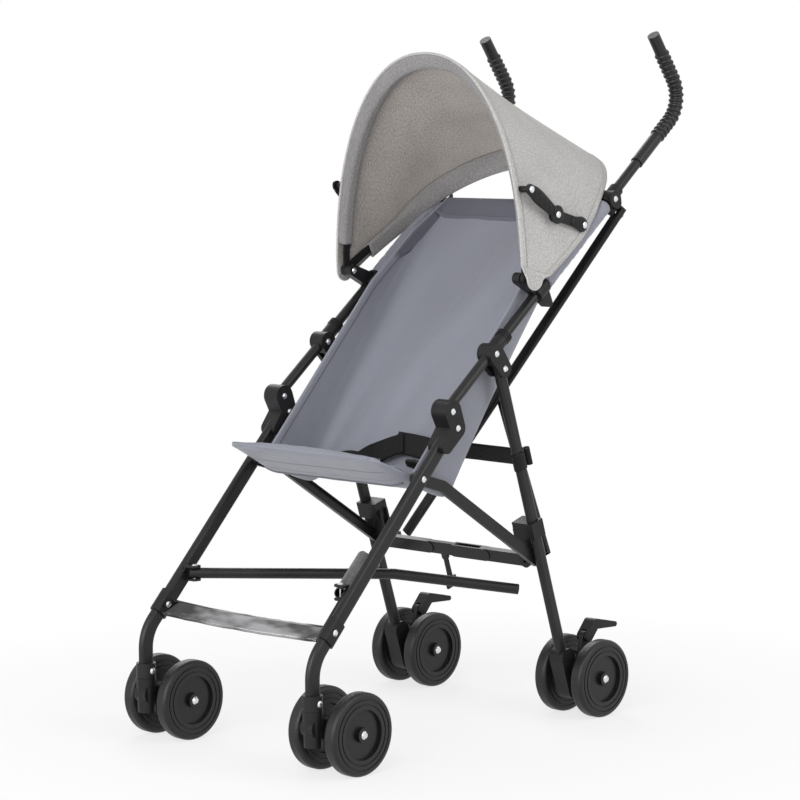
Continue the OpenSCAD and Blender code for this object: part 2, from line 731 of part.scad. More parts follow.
module bow(w, h, n) {
    rotate([90, 0, 0]) linear_extrude(bow_w, center = true) polygon(concat(
        [for (i = [0:2 * cover_steps]) arch(w, h, n, half_turn * i / (2 * cover_steps))],
        [for (i = [2 * cover_steps:-1:0]) arch(w - bow_t, h - bow_t, n, half_turn * i / (2 * cover_steps))]));
    for (s = [-1, 1]) translate([s * (w - bow_t / 2), 0, 0]) rotate([0, 90, 0])
        cylinder(d = eye_d, h = bow_t, center = true);
}

module canopy_front_bow() color(black) canopy_plane(90) difference() {
    bow(canopy_half - bow_inset, canopy_rise - front_bow_drop, front_shape);
    rotate([0, 90, 0]) cylinder(d = pivot_d + fit, h = 2 * track, center = true);
}

module canopy_rear_bow() color(black) canopy_plane(rear_bow_angle) difference() {
    bow(canopy_half - bow_inset + bow_step, canopy_back - rear_bow_drop, rear_shape);
    rotate([0, 90, 0]) cylinder(d = pivot_d + fit, h = 2 * track, center = true);
}

// The cover is stretched in straight lines from the upright front hem to the wider rear hem
function front_hem(a, inset) =
    let (p = arch(canopy_half - inset, canopy_rise - inset, front_shape, a))
    [p[0], canopy_y - front_hem_ahead + p[1] * cos(front_hem_angle), canopy_z + p[1] * sin(front_hem_angle)];
function rear_hem(a, inset) =
    let (p = arch(canopy_half + rear_hem_wide - inset, canopy_back - inset, rear_shape, a))
    [p[0], canopy_y + rear_hem_after[0] + p[1] * cos(rear_hem_angle),
     canopy_z + rear_hem_after[1] + p[1] * sin(rear_hem_angle)];
function cover_point(v, u, inset) =
    let (a = hem_angle + u * (half_turn - 2 * hem_angle))
    (1 - v) * front_hem(a, inset) + v * rear_hem(a, inset);

module canopy_cover() color(roof) {
    cols = cover_steps + 1;
    rows = cover_rows + 1;
    pts = [for (inset = [0, canopy_t], r = [0:cover_rows], c = [0:cover_steps])
        cover_point(r / cover_rows, c / cover_steps, inset)];
    skin = rows * cols;
    polyhedron(pts, concat(
        [for (r = [0:cover_rows - 1], c = [0:cover_steps - 1]) each quad(r * cols + c, (r + 1) * cols + c,
            (r + 1) * cols + c + 1, r * cols + c + 1)],
        [for (r = [0:cover_rows - 1], c = [0:cover_steps - 1]) each quad(skin + r * cols + c,
            skin + r * cols + c + 1, skin + (r + 1) * cols + c + 1, skin + (r + 1) * cols + c)],
        [for (c = [0:cover_steps - 1]) each quad(c, c + 1, skin + c + 1, skin + c)],
        [for (c = [0:cover_steps - 1]) each quad(cover_rows * cols + c, skin + cover_rows * cols + c,
            skin + cover_rows * cols + c + 1, cover_rows * cols + c + 1)],
        [for (r = [0:cover_rows - 1]) each quad(r * cols, skin + r * cols, skin + (r + 1) * cols, (r + 1) * cols)],
        [for (r = [0:cover_rows - 1]) each quad(r * cols + cover_steps, (r + 1) * cols + cover_steps,
            skin + (r + 1) * cols + cover_steps, skin + r * cols + cover_steps)]));
}
function quad(a, b, c, d) = [[a, c, b], [a, d, c]];

// Two flat arms outside each side of the canopy, joined at a round knuckle
stay_out = canopy_half + rear_hem_wide - half + gap - stay_seat;
module stay_rear() color(black) translate([stay_out + stay_t / 2, 0, 0]) side_plate(stay_t) {
    tapered(stay_rear, stay_knee, stay_r, stay_r);
    translate(stay_knee) circle(r = stay_hub_r);
}
module stay_front() color(black) translate([stay_out + stay_t * 3 / 2 + gap, 0, 0]) side_plate(stay_t) {
    tapered(stay_knee, stay_front, stay_r, stay_r);
    translate(stay_knee) circle(r = stay_hub_r);
}

// The sling: a sheet over the pan and up the back, with a wing at each side
function curve(a, b, c, s) = (1 - s) * (1 - s) * a + 2 * s * (1 - s) * b + s * s * c;
seat_line = concat(
    [for (i = [0:seat_steps]) curve([seat_front_y, seat_front_z], [seat_mid_y, seat_mid_z],
        [seat_low_y, seat_low_z], i / seat_steps)],
    [for (i = [1:seat_steps]) curve([seat_low_y, seat_low_z], [back_mid_y, back_mid_z],
        [back_top_y, back_top_z], i / seat_steps)]);
// The sheet's other face stands off along the line's own normal
function seat_side_at(i) = let (a = seat_line[max(i - 1, 0)], b = seat_line[min(i + 1, len(seat_line) - 1)],
    u = unit(b - a)) seat_line[i] + cloth_t * [-u[1], u[0]];

module seat() color(cloth) {
    seat_half = half - seat_side;
    count = len(seat_line) - 1;
    side_plate(2 * seat_half) polygon(concat(seat_line, [for (i = [count:-1:0]) seat_side_at(i)]));
    wing = concat([for (i = [floor(seat_steps / 2):count]) seat_line[i]],
        [flat(handle_at(brace_span)), flat(handle_at(-knee_span)), flat(leg_at(wing_leg_span))]);
    for (s = [0, 1]) mirror([s, 0, 0]) translate([seat_half - cloth_t / 2, 0, 0])
        side_plate(cloth_t) polygon(wing);
}

// A webbing band that hangs in a shallow arc between the foot brackets
module foot_strap() color(black) {
    reach = half - leg_t / 2 - foot_plate_t - head_h - 3 * gap;
    strap_r = (reach * reach + strap_sag * strap_sag) / (2 * strap_sag);
    swing = asin(reach / strap_r);
    translate([0, strap_y, strap_z]) rotate([strap_tilt, 0, 0]) translate([0, 0, strap_r - strap_sag])
        rotate([90, 0, 0]) rotate([0, 0, -90 - swing]) rotate_extrude(angle = 2 * swing, $fn = 360)
            translate([strap_r, -strap_w / 2]) square([strap_t, strap_w]);
}

// Left side frame
on_left() handle_tube();  // left_handle_tube
on_left() grip();  // left_grip
on_left() front_leg();  // left_front_leg
on_left() knee_bracket();  // left_knee_bracket
on_left() hinge_bracket();  // left_hinge_bracket
on_left() handle_bracket(brace_ahead);  // left_handle_bracket
on_left() frame_rivets(brace_ahead, floor_high);  // left_frame_rivets
on_left() foot_bracket(floor_high);  // left_foot_bracket
on_left() canopy_clamp();  // left_canopy_clamp
on_left() caster_socket();  // left_caster_socket
on_left() rear_leg();  // left_rear_leg
on_left() rear_bracket(brace_after);  // left_rear_bracket
on_left() rear_hub();  // left_rear_hub
on_left() axle_rod(wheelbase);  // left_rear_axle
in_middle() brace_tube(brace_ahead);  // left_brace_tube
on_left() side_link();  // left_side_link
on_left() floor_bar(floor_high, floor_high + floor_mid_rise,  // left_floor_bar
    floor_high_end);
on_left() cross_bar(false);  // left_cross_bar
on_left() caster_housing();  // left_caster_housing
on_left() axle_rod(0);  // left_front_axle
on_left() wheel(0, -1, boss_in_front);  // left_front_wheel_inner
on_left() wheel(0, 1, boss_in_front);  // left_front_wheel_outer
on_left() wheel(wheelbase, -1, boss_in_rear);  // left_rear_wheel_inner
on_left() wheel(wheelbase, 1, boss_in_rear);  // left_rear_wheel_outer
on_left() brake_lever();  // left_brake_lever
on_left() stay_rear();  // left_stay_rear
on_left() stay_front();  // left_stay_front

// Right side frame
on_right() handle_tube();  // right_handle_tube
on_right() grip();  // right_grip
on_right() front_leg();  // right_front_leg
on_right() knee_bracket();  // right_knee_bracket
on_right() hinge_bracket();  // right_hinge_bracket
on_right() handle_bracket(brace_after);  // right_handle_bracket
on_right() frame_rivets(brace_after, floor_low);  // right_frame_rivets
on_right() foot_bracket(floor_low);  // right_foot_bracket
on_right() canopy_clamp();  // right_canopy_clamp
on_right() caster_socket();  // right_caster_socket
on_right() rear_leg();  // right_rear_leg
on_right() rear_bracket(brace_ahead);  // right_rear_bracket
on_right() rear_hub();  // right_rear_hub
on_right() axle_rod(wheelbase);  // right_rear_axle
mirror([1, 0, 0]) in_middle() brace_tube(brace_after);  // right_brace_tube
on_right() side_link();  // right_side_link
on_right() floor_bar(floor_low, floor_low - floor_mid_drop,  // right_floor_bar
    floor_low_end);
on_right() cross_bar(true);  // right_cross_bar
on_right() caster_housing();  // right_caster_housing
on_right() axle_rod(0);  // right_front_axle
on_right() wheel(0, -1, boss_in_front);  // right_front_wheel_inner
on_right() wheel(0, 1, boss_in_front);  // right_front_wheel_outer
on_right() wheel(wheelbase, -1, boss_in_rear);  // right_rear_wheel_inner
on_right() wheel(wheelbase, 1, boss_in_rear);  // right_rear_wheel_outer
on_right() brake_lever();  // right_brake_lever
on_right() stay_rear();  // right_stay_rear
on_right() stay_front();  // right_stay_front

// Middle
on_right() lock_lever();
in_middle() canopy_front_bow();
in_middle() canopy_rear_bow();
in_middle() canopy_cover();
in_middle() seat();
in_middle() foot_strap();
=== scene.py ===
"""Umbrella stroller: cloth, webbing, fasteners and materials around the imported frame.

Places are written in millimetres from the front axle, the floor and the middle plane, as in the part's
source. place() turns them into the frame's metres.
"""

import math

import bpy
from mathutils import Matrix, Vector, noise


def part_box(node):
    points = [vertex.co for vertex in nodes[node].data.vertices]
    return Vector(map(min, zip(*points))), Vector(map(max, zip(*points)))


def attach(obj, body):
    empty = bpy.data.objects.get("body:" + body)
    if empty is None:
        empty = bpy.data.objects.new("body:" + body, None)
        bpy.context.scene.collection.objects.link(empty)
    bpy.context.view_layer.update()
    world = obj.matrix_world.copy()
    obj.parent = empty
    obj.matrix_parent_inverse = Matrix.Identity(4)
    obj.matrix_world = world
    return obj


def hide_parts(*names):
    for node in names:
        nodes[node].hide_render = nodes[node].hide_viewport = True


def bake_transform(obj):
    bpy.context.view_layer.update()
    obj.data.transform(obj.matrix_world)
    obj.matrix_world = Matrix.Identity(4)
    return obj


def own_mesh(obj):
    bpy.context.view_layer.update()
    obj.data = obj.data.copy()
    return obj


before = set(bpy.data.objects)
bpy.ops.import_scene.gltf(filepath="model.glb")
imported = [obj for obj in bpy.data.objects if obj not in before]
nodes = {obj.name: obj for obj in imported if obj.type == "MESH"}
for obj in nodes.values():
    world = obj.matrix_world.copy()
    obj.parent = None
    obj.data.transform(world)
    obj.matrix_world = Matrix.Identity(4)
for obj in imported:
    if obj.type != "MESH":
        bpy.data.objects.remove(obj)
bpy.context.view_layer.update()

# Frame places

MM = 0.001
AXLE_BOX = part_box("left_front_axle")
AXLE_Y = (AXLE_BOX[0].y + AXLE_BOX[1].y) / 2
SIDE_X = 176
HINGE_YZ = (320, 573.3)
HANDLE_SLOPE = math.radians(38.8)
REAR_TOP_YZ = (338.8, 549.9)
REAR_SLOPE = math.radians(72.4)
SIDES = {"left": 1, "right": -1}

def place(x, y, z):
    return Vector((x * MM, y * MM + AXLE_Y, z * MM))


def handle_at(t):
    """The (y, z) point of the handle tubes at length t above their hinge."""
    return (HINGE_YZ[0] + t * math.cos(HANDLE_SLOPE), HINGE_YZ[1] + t * math.sin(HANDLE_SLOPE))


def rear_at(z):
    """The y of the rear legs' middle at height z."""
    return REAR_TOP_YZ[0] + (REAR_TOP_YZ[1] - z) / math.tan(REAR_SLOPE)


def mix(a, b, t):
    return a + (b - a) * t


def smooth_step(t):
    t = min(max(t, 0), 1)
    return t * t * (3 - 2 * t)


def bend(a, b, c, t):
    """A point of the curve from a to c that leans towards b."""
    return a * (1 - t) ** 2 + b * (2 * t * (1 - t)) + c * (t * t)


def signed_power(value, power):
    """A power that keeps the sign, for outlines between an ellipse and a box."""
    return math.copysign(abs(value) ** power, value)


def ripple(a, b, c):
    """Smooth noise between -1 and 1, the same in each run."""
    return noise.noise(Vector((a, b, c)))


# Camera

CAMERA_LENS = 127.02
CAMERA_AZIMUTH = math.radians(43.734)
CAMERA_ELEVATION = math.radians(5.86)
CAMERA_ROLL = math.radians(-0.359)
CAMERA_DISTANCE = 4288.8
CAMERA_TARGET = (0.1, 310.3, 493.4)


def make_camera():
    az, el, roll = CAMERA_AZIMUTH, CAMERA_ELEVATION, CAMERA_ROLL
    back = Vector((math.sin(az) * math.cos(el), -math.cos(az) * math.cos(el), math.sin(el)))
    level = Vector((math.cos(az), math.sin(az), 0))
    upright = back.cross(level)
    right = level * math.cos(roll) + upright * math.sin(roll)
    up = upright * math.cos(roll) - level * math.sin(roll)
    data = bpy.data.cameras.new("camera")
    data.lens = CAMERA_LENS
    camera = bpy.data.objects.new("camera", data)
    bpy.context.scene.collection.objects.link(camera)
    spin = Matrix((right, up, back)).transposed().to_4x4()
    camera.matrix_world = Matrix.Translation(place(*CAMERA_TARGET) + back * CAMERA_DISTANCE * MM) @ spin
    bpy.context.scene.camera = camera


# Materials


def linear(red, green, blue):
    """A colour from its values of 0 to 255 on a screen."""
    shares = [v / 255 for v in (red, green, blue)]
    return [s / 12.92 if s <= 0.04045 else ((s + 0.055) / 1.055) ** 2.4 for s in shares] + [1]


class Nodes:
    """Short ways to make and join the nodes of a material or of the world."""

    def __init__(self, tree):
        self.nodes = tree.nodes
        self.link = tree.links.new

    def fill(self, made, values):
        """Sets the sockets of a node, or else its settings."""
        for key, value in values.items():
            socket = key.replace("_", " ")
            if socket in made.inputs:
                made.inputs[socket].default_value = value
            else:
                setattr(made, key, value)

    def node(self, kind, **values):
        made = self.nodes.new(kind)
        self.fill(made, values)
        return made

    def join(self, made, *values):
        """Sets or links the first sockets of a node and gives back its first output."""
        for socket, value in zip(made.inputs, values):
            if isinstance(value, (int, float, tuple, Vector)):
                socket.default_value = value
            else:
                self.link(value, socket)
        return made.outputs[0]

    def math(self, operation, a, b):
        return self.join(self.node("ShaderNodeMath", operation=operation), a, b)

    def vector(self, operation, a, b=(0, 0, 0)):
        made = self.node("ShaderNodeVectorMath", operation=operation)
        self.join(made, a, b)
        return made.outputs["Value" if operation == "LENGTH" else "Vector"]

    def range(self, value, low, high, start=0.0, stop=1.0):
        """Takes values from start to stop onto low to high."""
        made = self.node("ShaderNodeMapRange", From_Min=start, From_Max=stop, To_Min=low, To_Max=high)
        return self.join(made, value)

    def seen_white(self, share, lit, white):
        """Shows white, by a share, to the camera and to mirroring surfaces, and lit to other rays."""
        rays = self.node("ShaderNodeLightPath").outputs
        seen = self.math("MAXIMUM", rays["Is Camera Ray"], rays["Is Glossy Ray"])
        both = self.node("ShaderNodeMixShader")
        return self.join(both, self.math("MULTIPLY", seen, share), lit.outputs[0], white.outputs[0])


class Shader(Nodes):
    """A node material whose colour, roughness and bump come from a few textures."""

    def __init__(self, name, rough, **sockets):
        self.material = bpy.data.materials.new(name)
        self.material.use_nodes = True
        super().__init__(self.material.node_tree)
        self.surface = self.nodes["Principled BSDF"]
        self.fill(self.surface, dict(sockets, Roughness=rough))
        self.place = self.node("ShaderNodeTexCoord")

    def noise(self, size, coordinates="Object", detail=3.0, rough=0.55, stretch=None):
        """A cloudy texture whose features are about size metres wide."""
        made = self.node("ShaderNodeTexNoise", Scale=1 / size, Detail=detail, Roughness=rough)
        source = self.place.outputs[coordinates]
        if stretch:
            source = self.join(self.node("ShaderNodeMapping", Scale=stretch), source)
        return self.join(made, source)

    def ramp(self, value, low, high, spread=0.2):
        """Goes from one screen colour to another where value is within spread of a half."""
        made = self.node("ShaderNodeValToRGB")
        first, last = made.color_ramp.elements
        first.position, last.position = 0.5 - spread, 0.5 + spread
        first.color, last.color = linear(*low), linear(*high)
        return self.join(made, value)

    def blend(self, factor, a, b):
        made = self.node("ShaderNodeMix", data_type="RGBA")
        sockets = [socket for socket in made.inputs if socket.enabled]
        for socket, value in zip(sockets, (factor, a, b)):
            self.link(value, socket)
        return next(output for output in made.outputs if output.enabled)

    def wave(self, pitch, direction):
        """Threads across the cloth's own map, pitch metres apart."""
        made = self.node("ShaderNodeTexWave", Scale=math.tau / (20 * pitch), bands_direction=direction)
        self.join(made, self.place.outputs["UV"])
        return made.outputs["Fac"]

    def colour(self, output):
        self.link(output, self.surface.inputs["Base Color"])

    def roughness(self, output):
        self.link(output, self.surface.inputs["Roughness"])

    def bump(self, height, depth):
        made = self.node("ShaderNodeBump", Strength=1.0, Distance=depth)
        self.link(height, made.inputs["Height"])
        self.link(made.outputs["Normal"], self.surface.inputs["Normal"])


def hard_finish(name, level, shades, rough, grain, **sockets):
    """A hard surface: shades are (cloud size, low, high), rough and grain (noise size, detail, values)."""
    s = Shader(name, mix(*rough[2:], 0.5), Specular_IOR_Level=level, **sockets)
    s.colour(s.ramp(s.noise(shades[0]), *shades[1:]))
    s.roughness(s.range(s.noise(rough[0], detail=rough[1]), *rough[2:]))
    s.bump(s.noise(grain[0], detail=grain[1]), grain[2])
    return s.material


def coated_metal():
    """Satin black powder coat: a fine orange peel and faint handling marks."""
    return hard_finish("frame_tube", 0.3, (0.05, (20, 20, 21), (28, 28, 29)),
                       (0.02, 5, 0.3, 0.42), (0.0012, 1, 0.000012))


def moulded_plastic():
    """Matt black moulding with a fine spark-eroded grain."""
    return hard_finish("plastic", 0.25, (0.03, (17, 17, 18), (25, 25, 26)),
                       (0.008, 4, 0.36, 0.52), (0.0008, 2, 0.00008))


def bright_steel():
    """Zinc-bright rivets and axle caps with a faint drawn grain."""
    return hard_finish("steel", 0.5, (0.004, (205, 206, 208), (232, 233, 235)),
                       (0.0015, 4, 0.18, 0.34), (0.0009, 1, 0.00003), Metallic=1.0)


def grip_rubber():
    """Soft black rubber, a little shinier than the mouldings."""
    return hard_finish("grip_rubber", 0.4, (0.02, (14, 14, 15), (22, 22, 23)),
                       (0.006, 4, 0.3, 0.46), (0.0011, 2, 0.0001))


TYRE_SHARE = 0.6
TYRE_ROUGHER = 0.1
DISC_GRAIN = 0.25


def wheel_foam(name, centre, radius):
    """Foam tyre round a smoother moulded disc; centre is the wheel's own, so the change follows its rim."""
    s = Shader(name, 0.5, Specular_IOR_Level=0.36)
    from_centre = s.vector("SUBTRACT", s.place.outputs["Object"], centre)
    reach = s.vector("LENGTH", s.vector("MULTIPLY", from_centre, (0, 1, 1)))
    tyre = s.math("GREATER_THAN", reach, radius * TYRE_SHARE)
    speckle = s.noise(0.0016, detail=3)
    disc_shade = s.ramp(speckle, (13, 13, 14), (18, 18, 19), 0.15)
    tyre_shade = s.ramp(speckle, (18, 18, 19), (28, 28, 29), 0.15)
    s.colour(s.blend(tyre, disc_shade, tyre_shade))
    uneven = s.range(s.noise(0.01, detail=4), 0.27, 0.38)
    s.roughness(s.math("ADD", s.math("MULTIPLY", tyre, TYRE_ROUGHER), uneven))
    s.bump(s.math("MULTIPLY", s.math("ADD", tyre, DISC_GRAIN), speckle), 0.00018)
    return s.material


FLECK_SHARE = 0.85
ROUGH_SPREAD = 0.08


def woven_cloth(name, low, high, fleck, pitch, depth, rough, cloud=0.06, sheen=0.15, spread=0.2):
    """Cloth between two colours, whose flecks are fleck metres long, woven at pitch metres."""
    s = Shader(name, rough, Sheen_Weight=sheen, Sheen_Roughness=0.5)
    flecks = s.noise(fleck, "UV", detail=4, rough=0.7)
    clouds = s.noise(cloud, "UV", detail=2)
    tone = s.math("ADD", s.math("MULTIPLY", flecks, FLECK_SHARE), s.math("MULTIPLY", clouds, 1 - FLECK_SHARE))
    s.colour(s.ramp(tone, low, high, spread))
    weave = s.math("MULTIPLY", s.wave(pitch, "X"), s.wave(pitch, "Y"))
    s.roughness(s.range(flecks, rough - ROUGH_SPREAD, rough + ROUGH_SPREAD))
    s.bump(s.math("ADD", weave, flecks), depth)
    return s.material


def heather(name, low, high):
    """The canopy's mottled cloth between two colours."""
    return woven_cloth(name, low, high, 0.0032, 0.0014, 0.00035, 0.85, spread=0.14)


def ribbed_webbing():
    """Black polyester webbing with its cross ribs."""
    s = Shader("webbing", 0.6, Sheen_Weight=0.03, Specular_IOR_Level=0.2)
    ribs = s.wave(0.0022, "Y")
    fine = s.noise(0.0012, "UV", detail=3)
    tone = s.math("ADD", s.math("MULTIPLY", ribs, 0.5), s.math("MULTIPLY", fine, 0.5))
    s.colour(s.ramp(tone, (8, 8, 9), (18, 18, 19), 0.3))
    s.roughness(s.range(fine, 0.5, 0.7))
    s.bump(s.math("ADD", ribs, s.math("MULTIPLY", fine, 0.4)), 0.0004)
    return s.material


def painted_reflection_sheet():
    """Smooth black vinyl with painted reflections: its colour swings in soft ripples between near black and
    light grey, standing for the bright room mirrored in it.
    """
    s = Shader("foot_strap", 0.12, Metallic=0.8, Coat_Weight=0.6, Coat_Roughness=0.05)
    # Painted reflections: these noise streaks set the base colour from near black to light grey in place of
    # mirrored light.
    clouds = s.noise(0.05, "UV", stretch=(1, 0.35, 1))
    s.colour(s.ramp(clouds, (26, 26, 28), (158, 158, 160), 0.07))
    s.roughness(s.range(s.noise(0.015, "UV"), 0.08, 0.2))
    s.bump(s.noise(0.06, "UV", detail=1), 0.004)
    return s.material


FRAME_BLACK = coated_metal()
PLASTIC = moulded_plastic()
STEEL = bright_steel()
RUBBER = grip_rubber()
ROOF_CLOTH = heather("canopy_cloth", (154, 152, 150), (200, 198, 196))
# The cover's inner face is the outer cloth again, painted lighter and warmer to stand for light shining
# through the cloth: painted light.
ROOF_INSIDE_PAINTED_LIGHT = heather("canopy_inside_painted_light", (144, 137, 130), (204, 197, 190))
ROOF_BAND = heather("canopy_band", (116, 114, 114), (156, 154, 154))
SEAT_CLOTH = woven_cloth("seat_cloth", (116, 118, 129), (136, 138, 149), 0.002, 0.0009, 0.00012, 0.55,
                         cloud=0.12, sheen=0.25)
SEAT_BAND = woven_cloth("seat_band", (82, 84, 95), (98, 100, 111), 0.002, 0.0009, 0.00012, 0.6, sheen=0.2)
WEBBING = ribbed_webbing()
FOOT_SHEET = painted_reflection_sheet()
THREAD = woven_cloth("thread", (120, 118, 117), (150, 148, 147), 0.001, 0.0006, 0.0001, 0.7)
SEAT_THREAD = woven_cloth("seat_thread", (88, 88, 98), (108, 108, 118), 0.001, 0.0006, 0.0001, 0.7)

# Mesh building

RING_SIDES = 24


def new_object(name, points, faces, materials, face_slots=None, maps=None):
    mesh = bpy.data.meshes.new(name)
    mesh.from_pydata([tuple(p) for p in points], [], faces)
    for material in materials:
        mesh.materials.append(material)
    layer = mesh.uv_layers.new(name="UVMap")
    for index, polygon in enumerate(mesh.polygons):
        polygon.use_smooth = True
        if face_slots:
            polygon.material_index = face_slots[index]
        for loop in polygon.loop_indices:
            vertex = mesh.loops[loop].vertex_index
            layer.data[loop].uv = maps[vertex] if maps else (points[vertex][0], points[vertex][2])
    mesh.validate()
    made = bpy.data.objects.new(name, mesh)
    bpy.context.scene.collection.objects.link(made)
    return made


def ways_along(line):
    """The length of the way to each point of a line."""
    ways = [0.0]
    for a, b in zip(line, line[1:]):
        ways.append(ways[-1] + (b - a).length)
    return ways


def point_at(line, ways, way):
    """The point of a line at a length along it."""
    for i in range(len(line) - 1):
        part = ways[i + 1] - ways[i]
        if part and way <= ways[i + 1]:
            return line[i].lerp(line[i + 1], (way - ways[i]) / part)
    return line[-1]


def way_at(line, i):
    """The direction of a line at its point i, from the points beside it."""
    return (line[min(i + 1, len(line) - 1)] - line[max(i - 1, 0)]).normalized()


def grid_normals(grid):
    """Unit normals of a grid of points, from its neighbours."""
    columns = list(zip(*grid))
    normals = []
    for r, row in enumerate(grid):
        normals.append([way_at(row, c).cross(way_at(columns[c], r)).normalized() for c in range(len(row))])
    return normals


def grid_lengths(grid):
    """Map coordinates in metres: the way along each row and each column."""
    over = [ways_along(row) for row in grid]
    down = zip(*[ways_along(column) for column in zip(*grid)])
    return [list(zip(us, vs)) for us, vs in zip(over, down)]


def shell(name, grid, thickness, materials):
    """A closed sheet round a grid of points: its front takes the first material and its back the last."""
    rows, cols = len(grid), len(grid[0])
    middle, normals, maps = [sum(lines, []) for lines in (grid, grid_normals(grid), grid_lengths(grid))]
    points = [p + n * thickness * side for side in (0.5, -0.5) for p, n in zip(middle, normals)]
    faces, slots = [], []
    back = len(middle)
    for r in range(rows - 1):
        for c in range(cols - 1):
            a, b = r * cols + c, (r + 1) * cols + c
            faces.append((a, a + 1, b + 1, b))
            slots.append(0)
            faces.append((back + a, back + b, back + b + 1, back + a + 1))
            slots.append(len(materials) - 1)
    edge = list(range(cols))
    edge += [r * cols + cols - 1 for r in range(1, rows)]
    edge += [(rows - 1) * cols + c for c in range(cols - 2, -1, -1)]
    edge += [r * cols for r in range(rows - 2, 0, -1)]
    for a, b in zip(edge, edge[1:] + edge[:1]):
        faces.append((b, a, back + a, back + b))
        slots.append(0)
    return new_object(name, points, faces, materials, slots, maps * 2)


def circle(middle, lean, other, radius, sides):
    """Points round middle in the plane of two unit directions."""
    turns = [math.tau * k / sides for k in range(sides)]
    return [middle + (lean * math.cos(turn) + other * math.sin(turn)) * radius for turn in turns]


def ring_faces(first, rings, sides):
    """Faces round rings of points, whose first point has the index first, and a cap at each end."""
    faces = []
    for start in range(first, first + (rings - 1) * sides, sides):
        for k in range(sides):
            a, b = start + k, start + (k + 1) % sides
            faces.append((a, b, b + sides, a + sides))
    faces.append(tuple(range(first + sides - 1, first - 1, -1)))
    faces.append(tuple(range(first + (rings - 1) * sides, first + rings * sides)))
    return faces


def tube(name, path, radius, material, sides=10):
    """A round tube along a path, with closed ends."""
    points, maps = [], []
    ways = ways_along(path)
    lean = None
    for i, p in enumerate(path):
        ahead = way_at(path, i)
        if lean is None:
            lean = ahead.orthogonal().normalized()
        lean = (lean - ahead * lean.dot(ahead)).normalized()
        points += circle(p, lean, ahead.cross(lean), radius, sides)
        maps += [(math.tau * radius * k / sides, ways[i]) for k in range(sides)]
    return new_object(name, points, ring_faces(0, len(path), sides), [material], maps=maps)


def ring_skin(name, rings, material):
    """A skin over rings of points whose first and last are one, closed at both ends."""
    points = [p for ring in rings for p in ring[:-1]]
    maps = []
    for ring, way in zip(rings, ways_along([ring[0] for ring in rings])):
        maps += [(around, way) for around in ways_along(ring)[:-1]]
    return new_object(name, points, ring_faces(0, len(rings), len(rings[0]) - 1), [material], maps=maps)


def curve_through(points, steps=8):
    """A smooth line through points, with steps parts between each two."""
    ends = [points[0] * 2 - points[1]] + list(points) + [points[-1] * 2 - points[-2]]
    line = []
    for a, b, c, d in zip(ends, ends[1:], ends[2:], ends[3:]):
        for i in range(steps):
            t = i / steps
            line.append(0.5 * (2 * b + (c - a) * t + (2 * a - 5 * b + 4 * c - d) * t * t
                               + (3 * b - a - 3 * c + d) * t ** 3))
    line.append(points[-1].copy())
    return line


STITCH_LENGTH = 3.4 * MM
STITCH_GAP = 1.6 * MM
STITCH_R = 0.45 * MM
STITCH_SIDES = 5
STITCH_RINGS = [(0, 0.35), (0.2, 1), (0.8, 1), (1, 0.35)]


def stitches(name, lines, material):
    """Rows of short raised threads along lines of points; each thread thins at its ends."""
    points, faces, maps = [], [], []
    for line in lines:
        ways = ways_along(line)
        way = 0.0
        while way + STITCH_LENGTH < ways[-1]:
            start, end = point_at(line, ways, way), point_at(line, ways, way + STITCH_LENGTH)
            ahead = (end - start).normalized()
            lean = ahead.orthogonal().normalized()
            other = ahead.cross(lean)
            faces += ring_faces(len(points), len(STITCH_RINGS), STITCH_SIDES)
            for share, size in STITCH_RINGS:
                points += circle(start.lerp(end, share), lean, other, STITCH_R * size, STITCH_SIDES)
                maps += [(STITCH_R * k, way + share * STITCH_LENGTH) for k in range(STITCH_SIDES)]
            way += STITCH_LENGTH + STITCH_GAP
    return new_object(name, points, faces, [material], maps=maps)


DOME_RINGS = 5
DOME_ROUND = 0.85


def dome(name, centre, axis, radius, height, material, rim=0.25):
    """A rivet head along a unit axis: a low dome on a short rim, with a small flat at its middle."""
    lean = axis.orthogonal().normalized()
    profile = [(1.0, 0.0), (1.0, rim)]
    for i in range(1, DOME_RINGS + 1):
        turn = math.pi / 2 * i / DOME_RINGS * DOME_ROUND
        profile.append((math.cos(turn), rim + (1 - rim) * math.sin(turn)))
    points = []
    for share, rise in profile:
        points += circle(centre + axis * height * rise, lean, axis.cross(lean), radius * share, RING_SIDES)
    return new_object(name, points, ring_faces(0, len(profile), RING_SIDES), [material])


def ride(made, body):
    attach(made, body)
    return made


# Canopy

PIVOT_YZ = (385, 681)
FRONT_RIM = {"half": 194.4, "rise": 337.1, "power": 2.19, "base": (371.6, 681.2), "angle": 91}
REAR_RIM = {"half": 202.4, "rise": 340, "power": 2.72, "base": (390.8, 677.4), "angle": 33.2, "skirt": 13}
SKIRT_END = 240
SKIRT_FADE = 120
CANOPY_T = 2.4
COVER_ROWS = 40
COVER_COLS = 132
SIDE_SPREAD = 0.45
HOLLOW = 5
HOLLOW_POWER = 1.5
RIPPLE = 1.5
RIPPLES_OVER = 9
RIPPLES_BACK = 3
COVER_SEED = 4.7
HEM_ANGLE = 2.6
HEM_STEPS = 170
FRONT_HEM_W = 10
REAR_HEM_W = 12
BINDING_GAP = 0.3
BINDING_T = 1.2
BINDING_ROWS = 4
EDGE_IN = 0.2
EDGE_R = 1.9
FRONT_BAND = 28
REAR_BAND = 23
BARE_SHARE = 0.075
SEAM_IN = 1.5
SEAM_OUT = 1.0
SEAM_ENDS = 0.01
SLEEVE_SEAM = 6
TAB_YZ = (394, 681)
TAB_X = 199
TAB_R = 16
TAB_ROWS = 10
TAB_COLS = 30
TAB_EDGE_R = 1.8
FRONT_BOW = {"half": 188, "rise": 320, "power": 2.2, "base": PIVOT_YZ, "angle": 90}
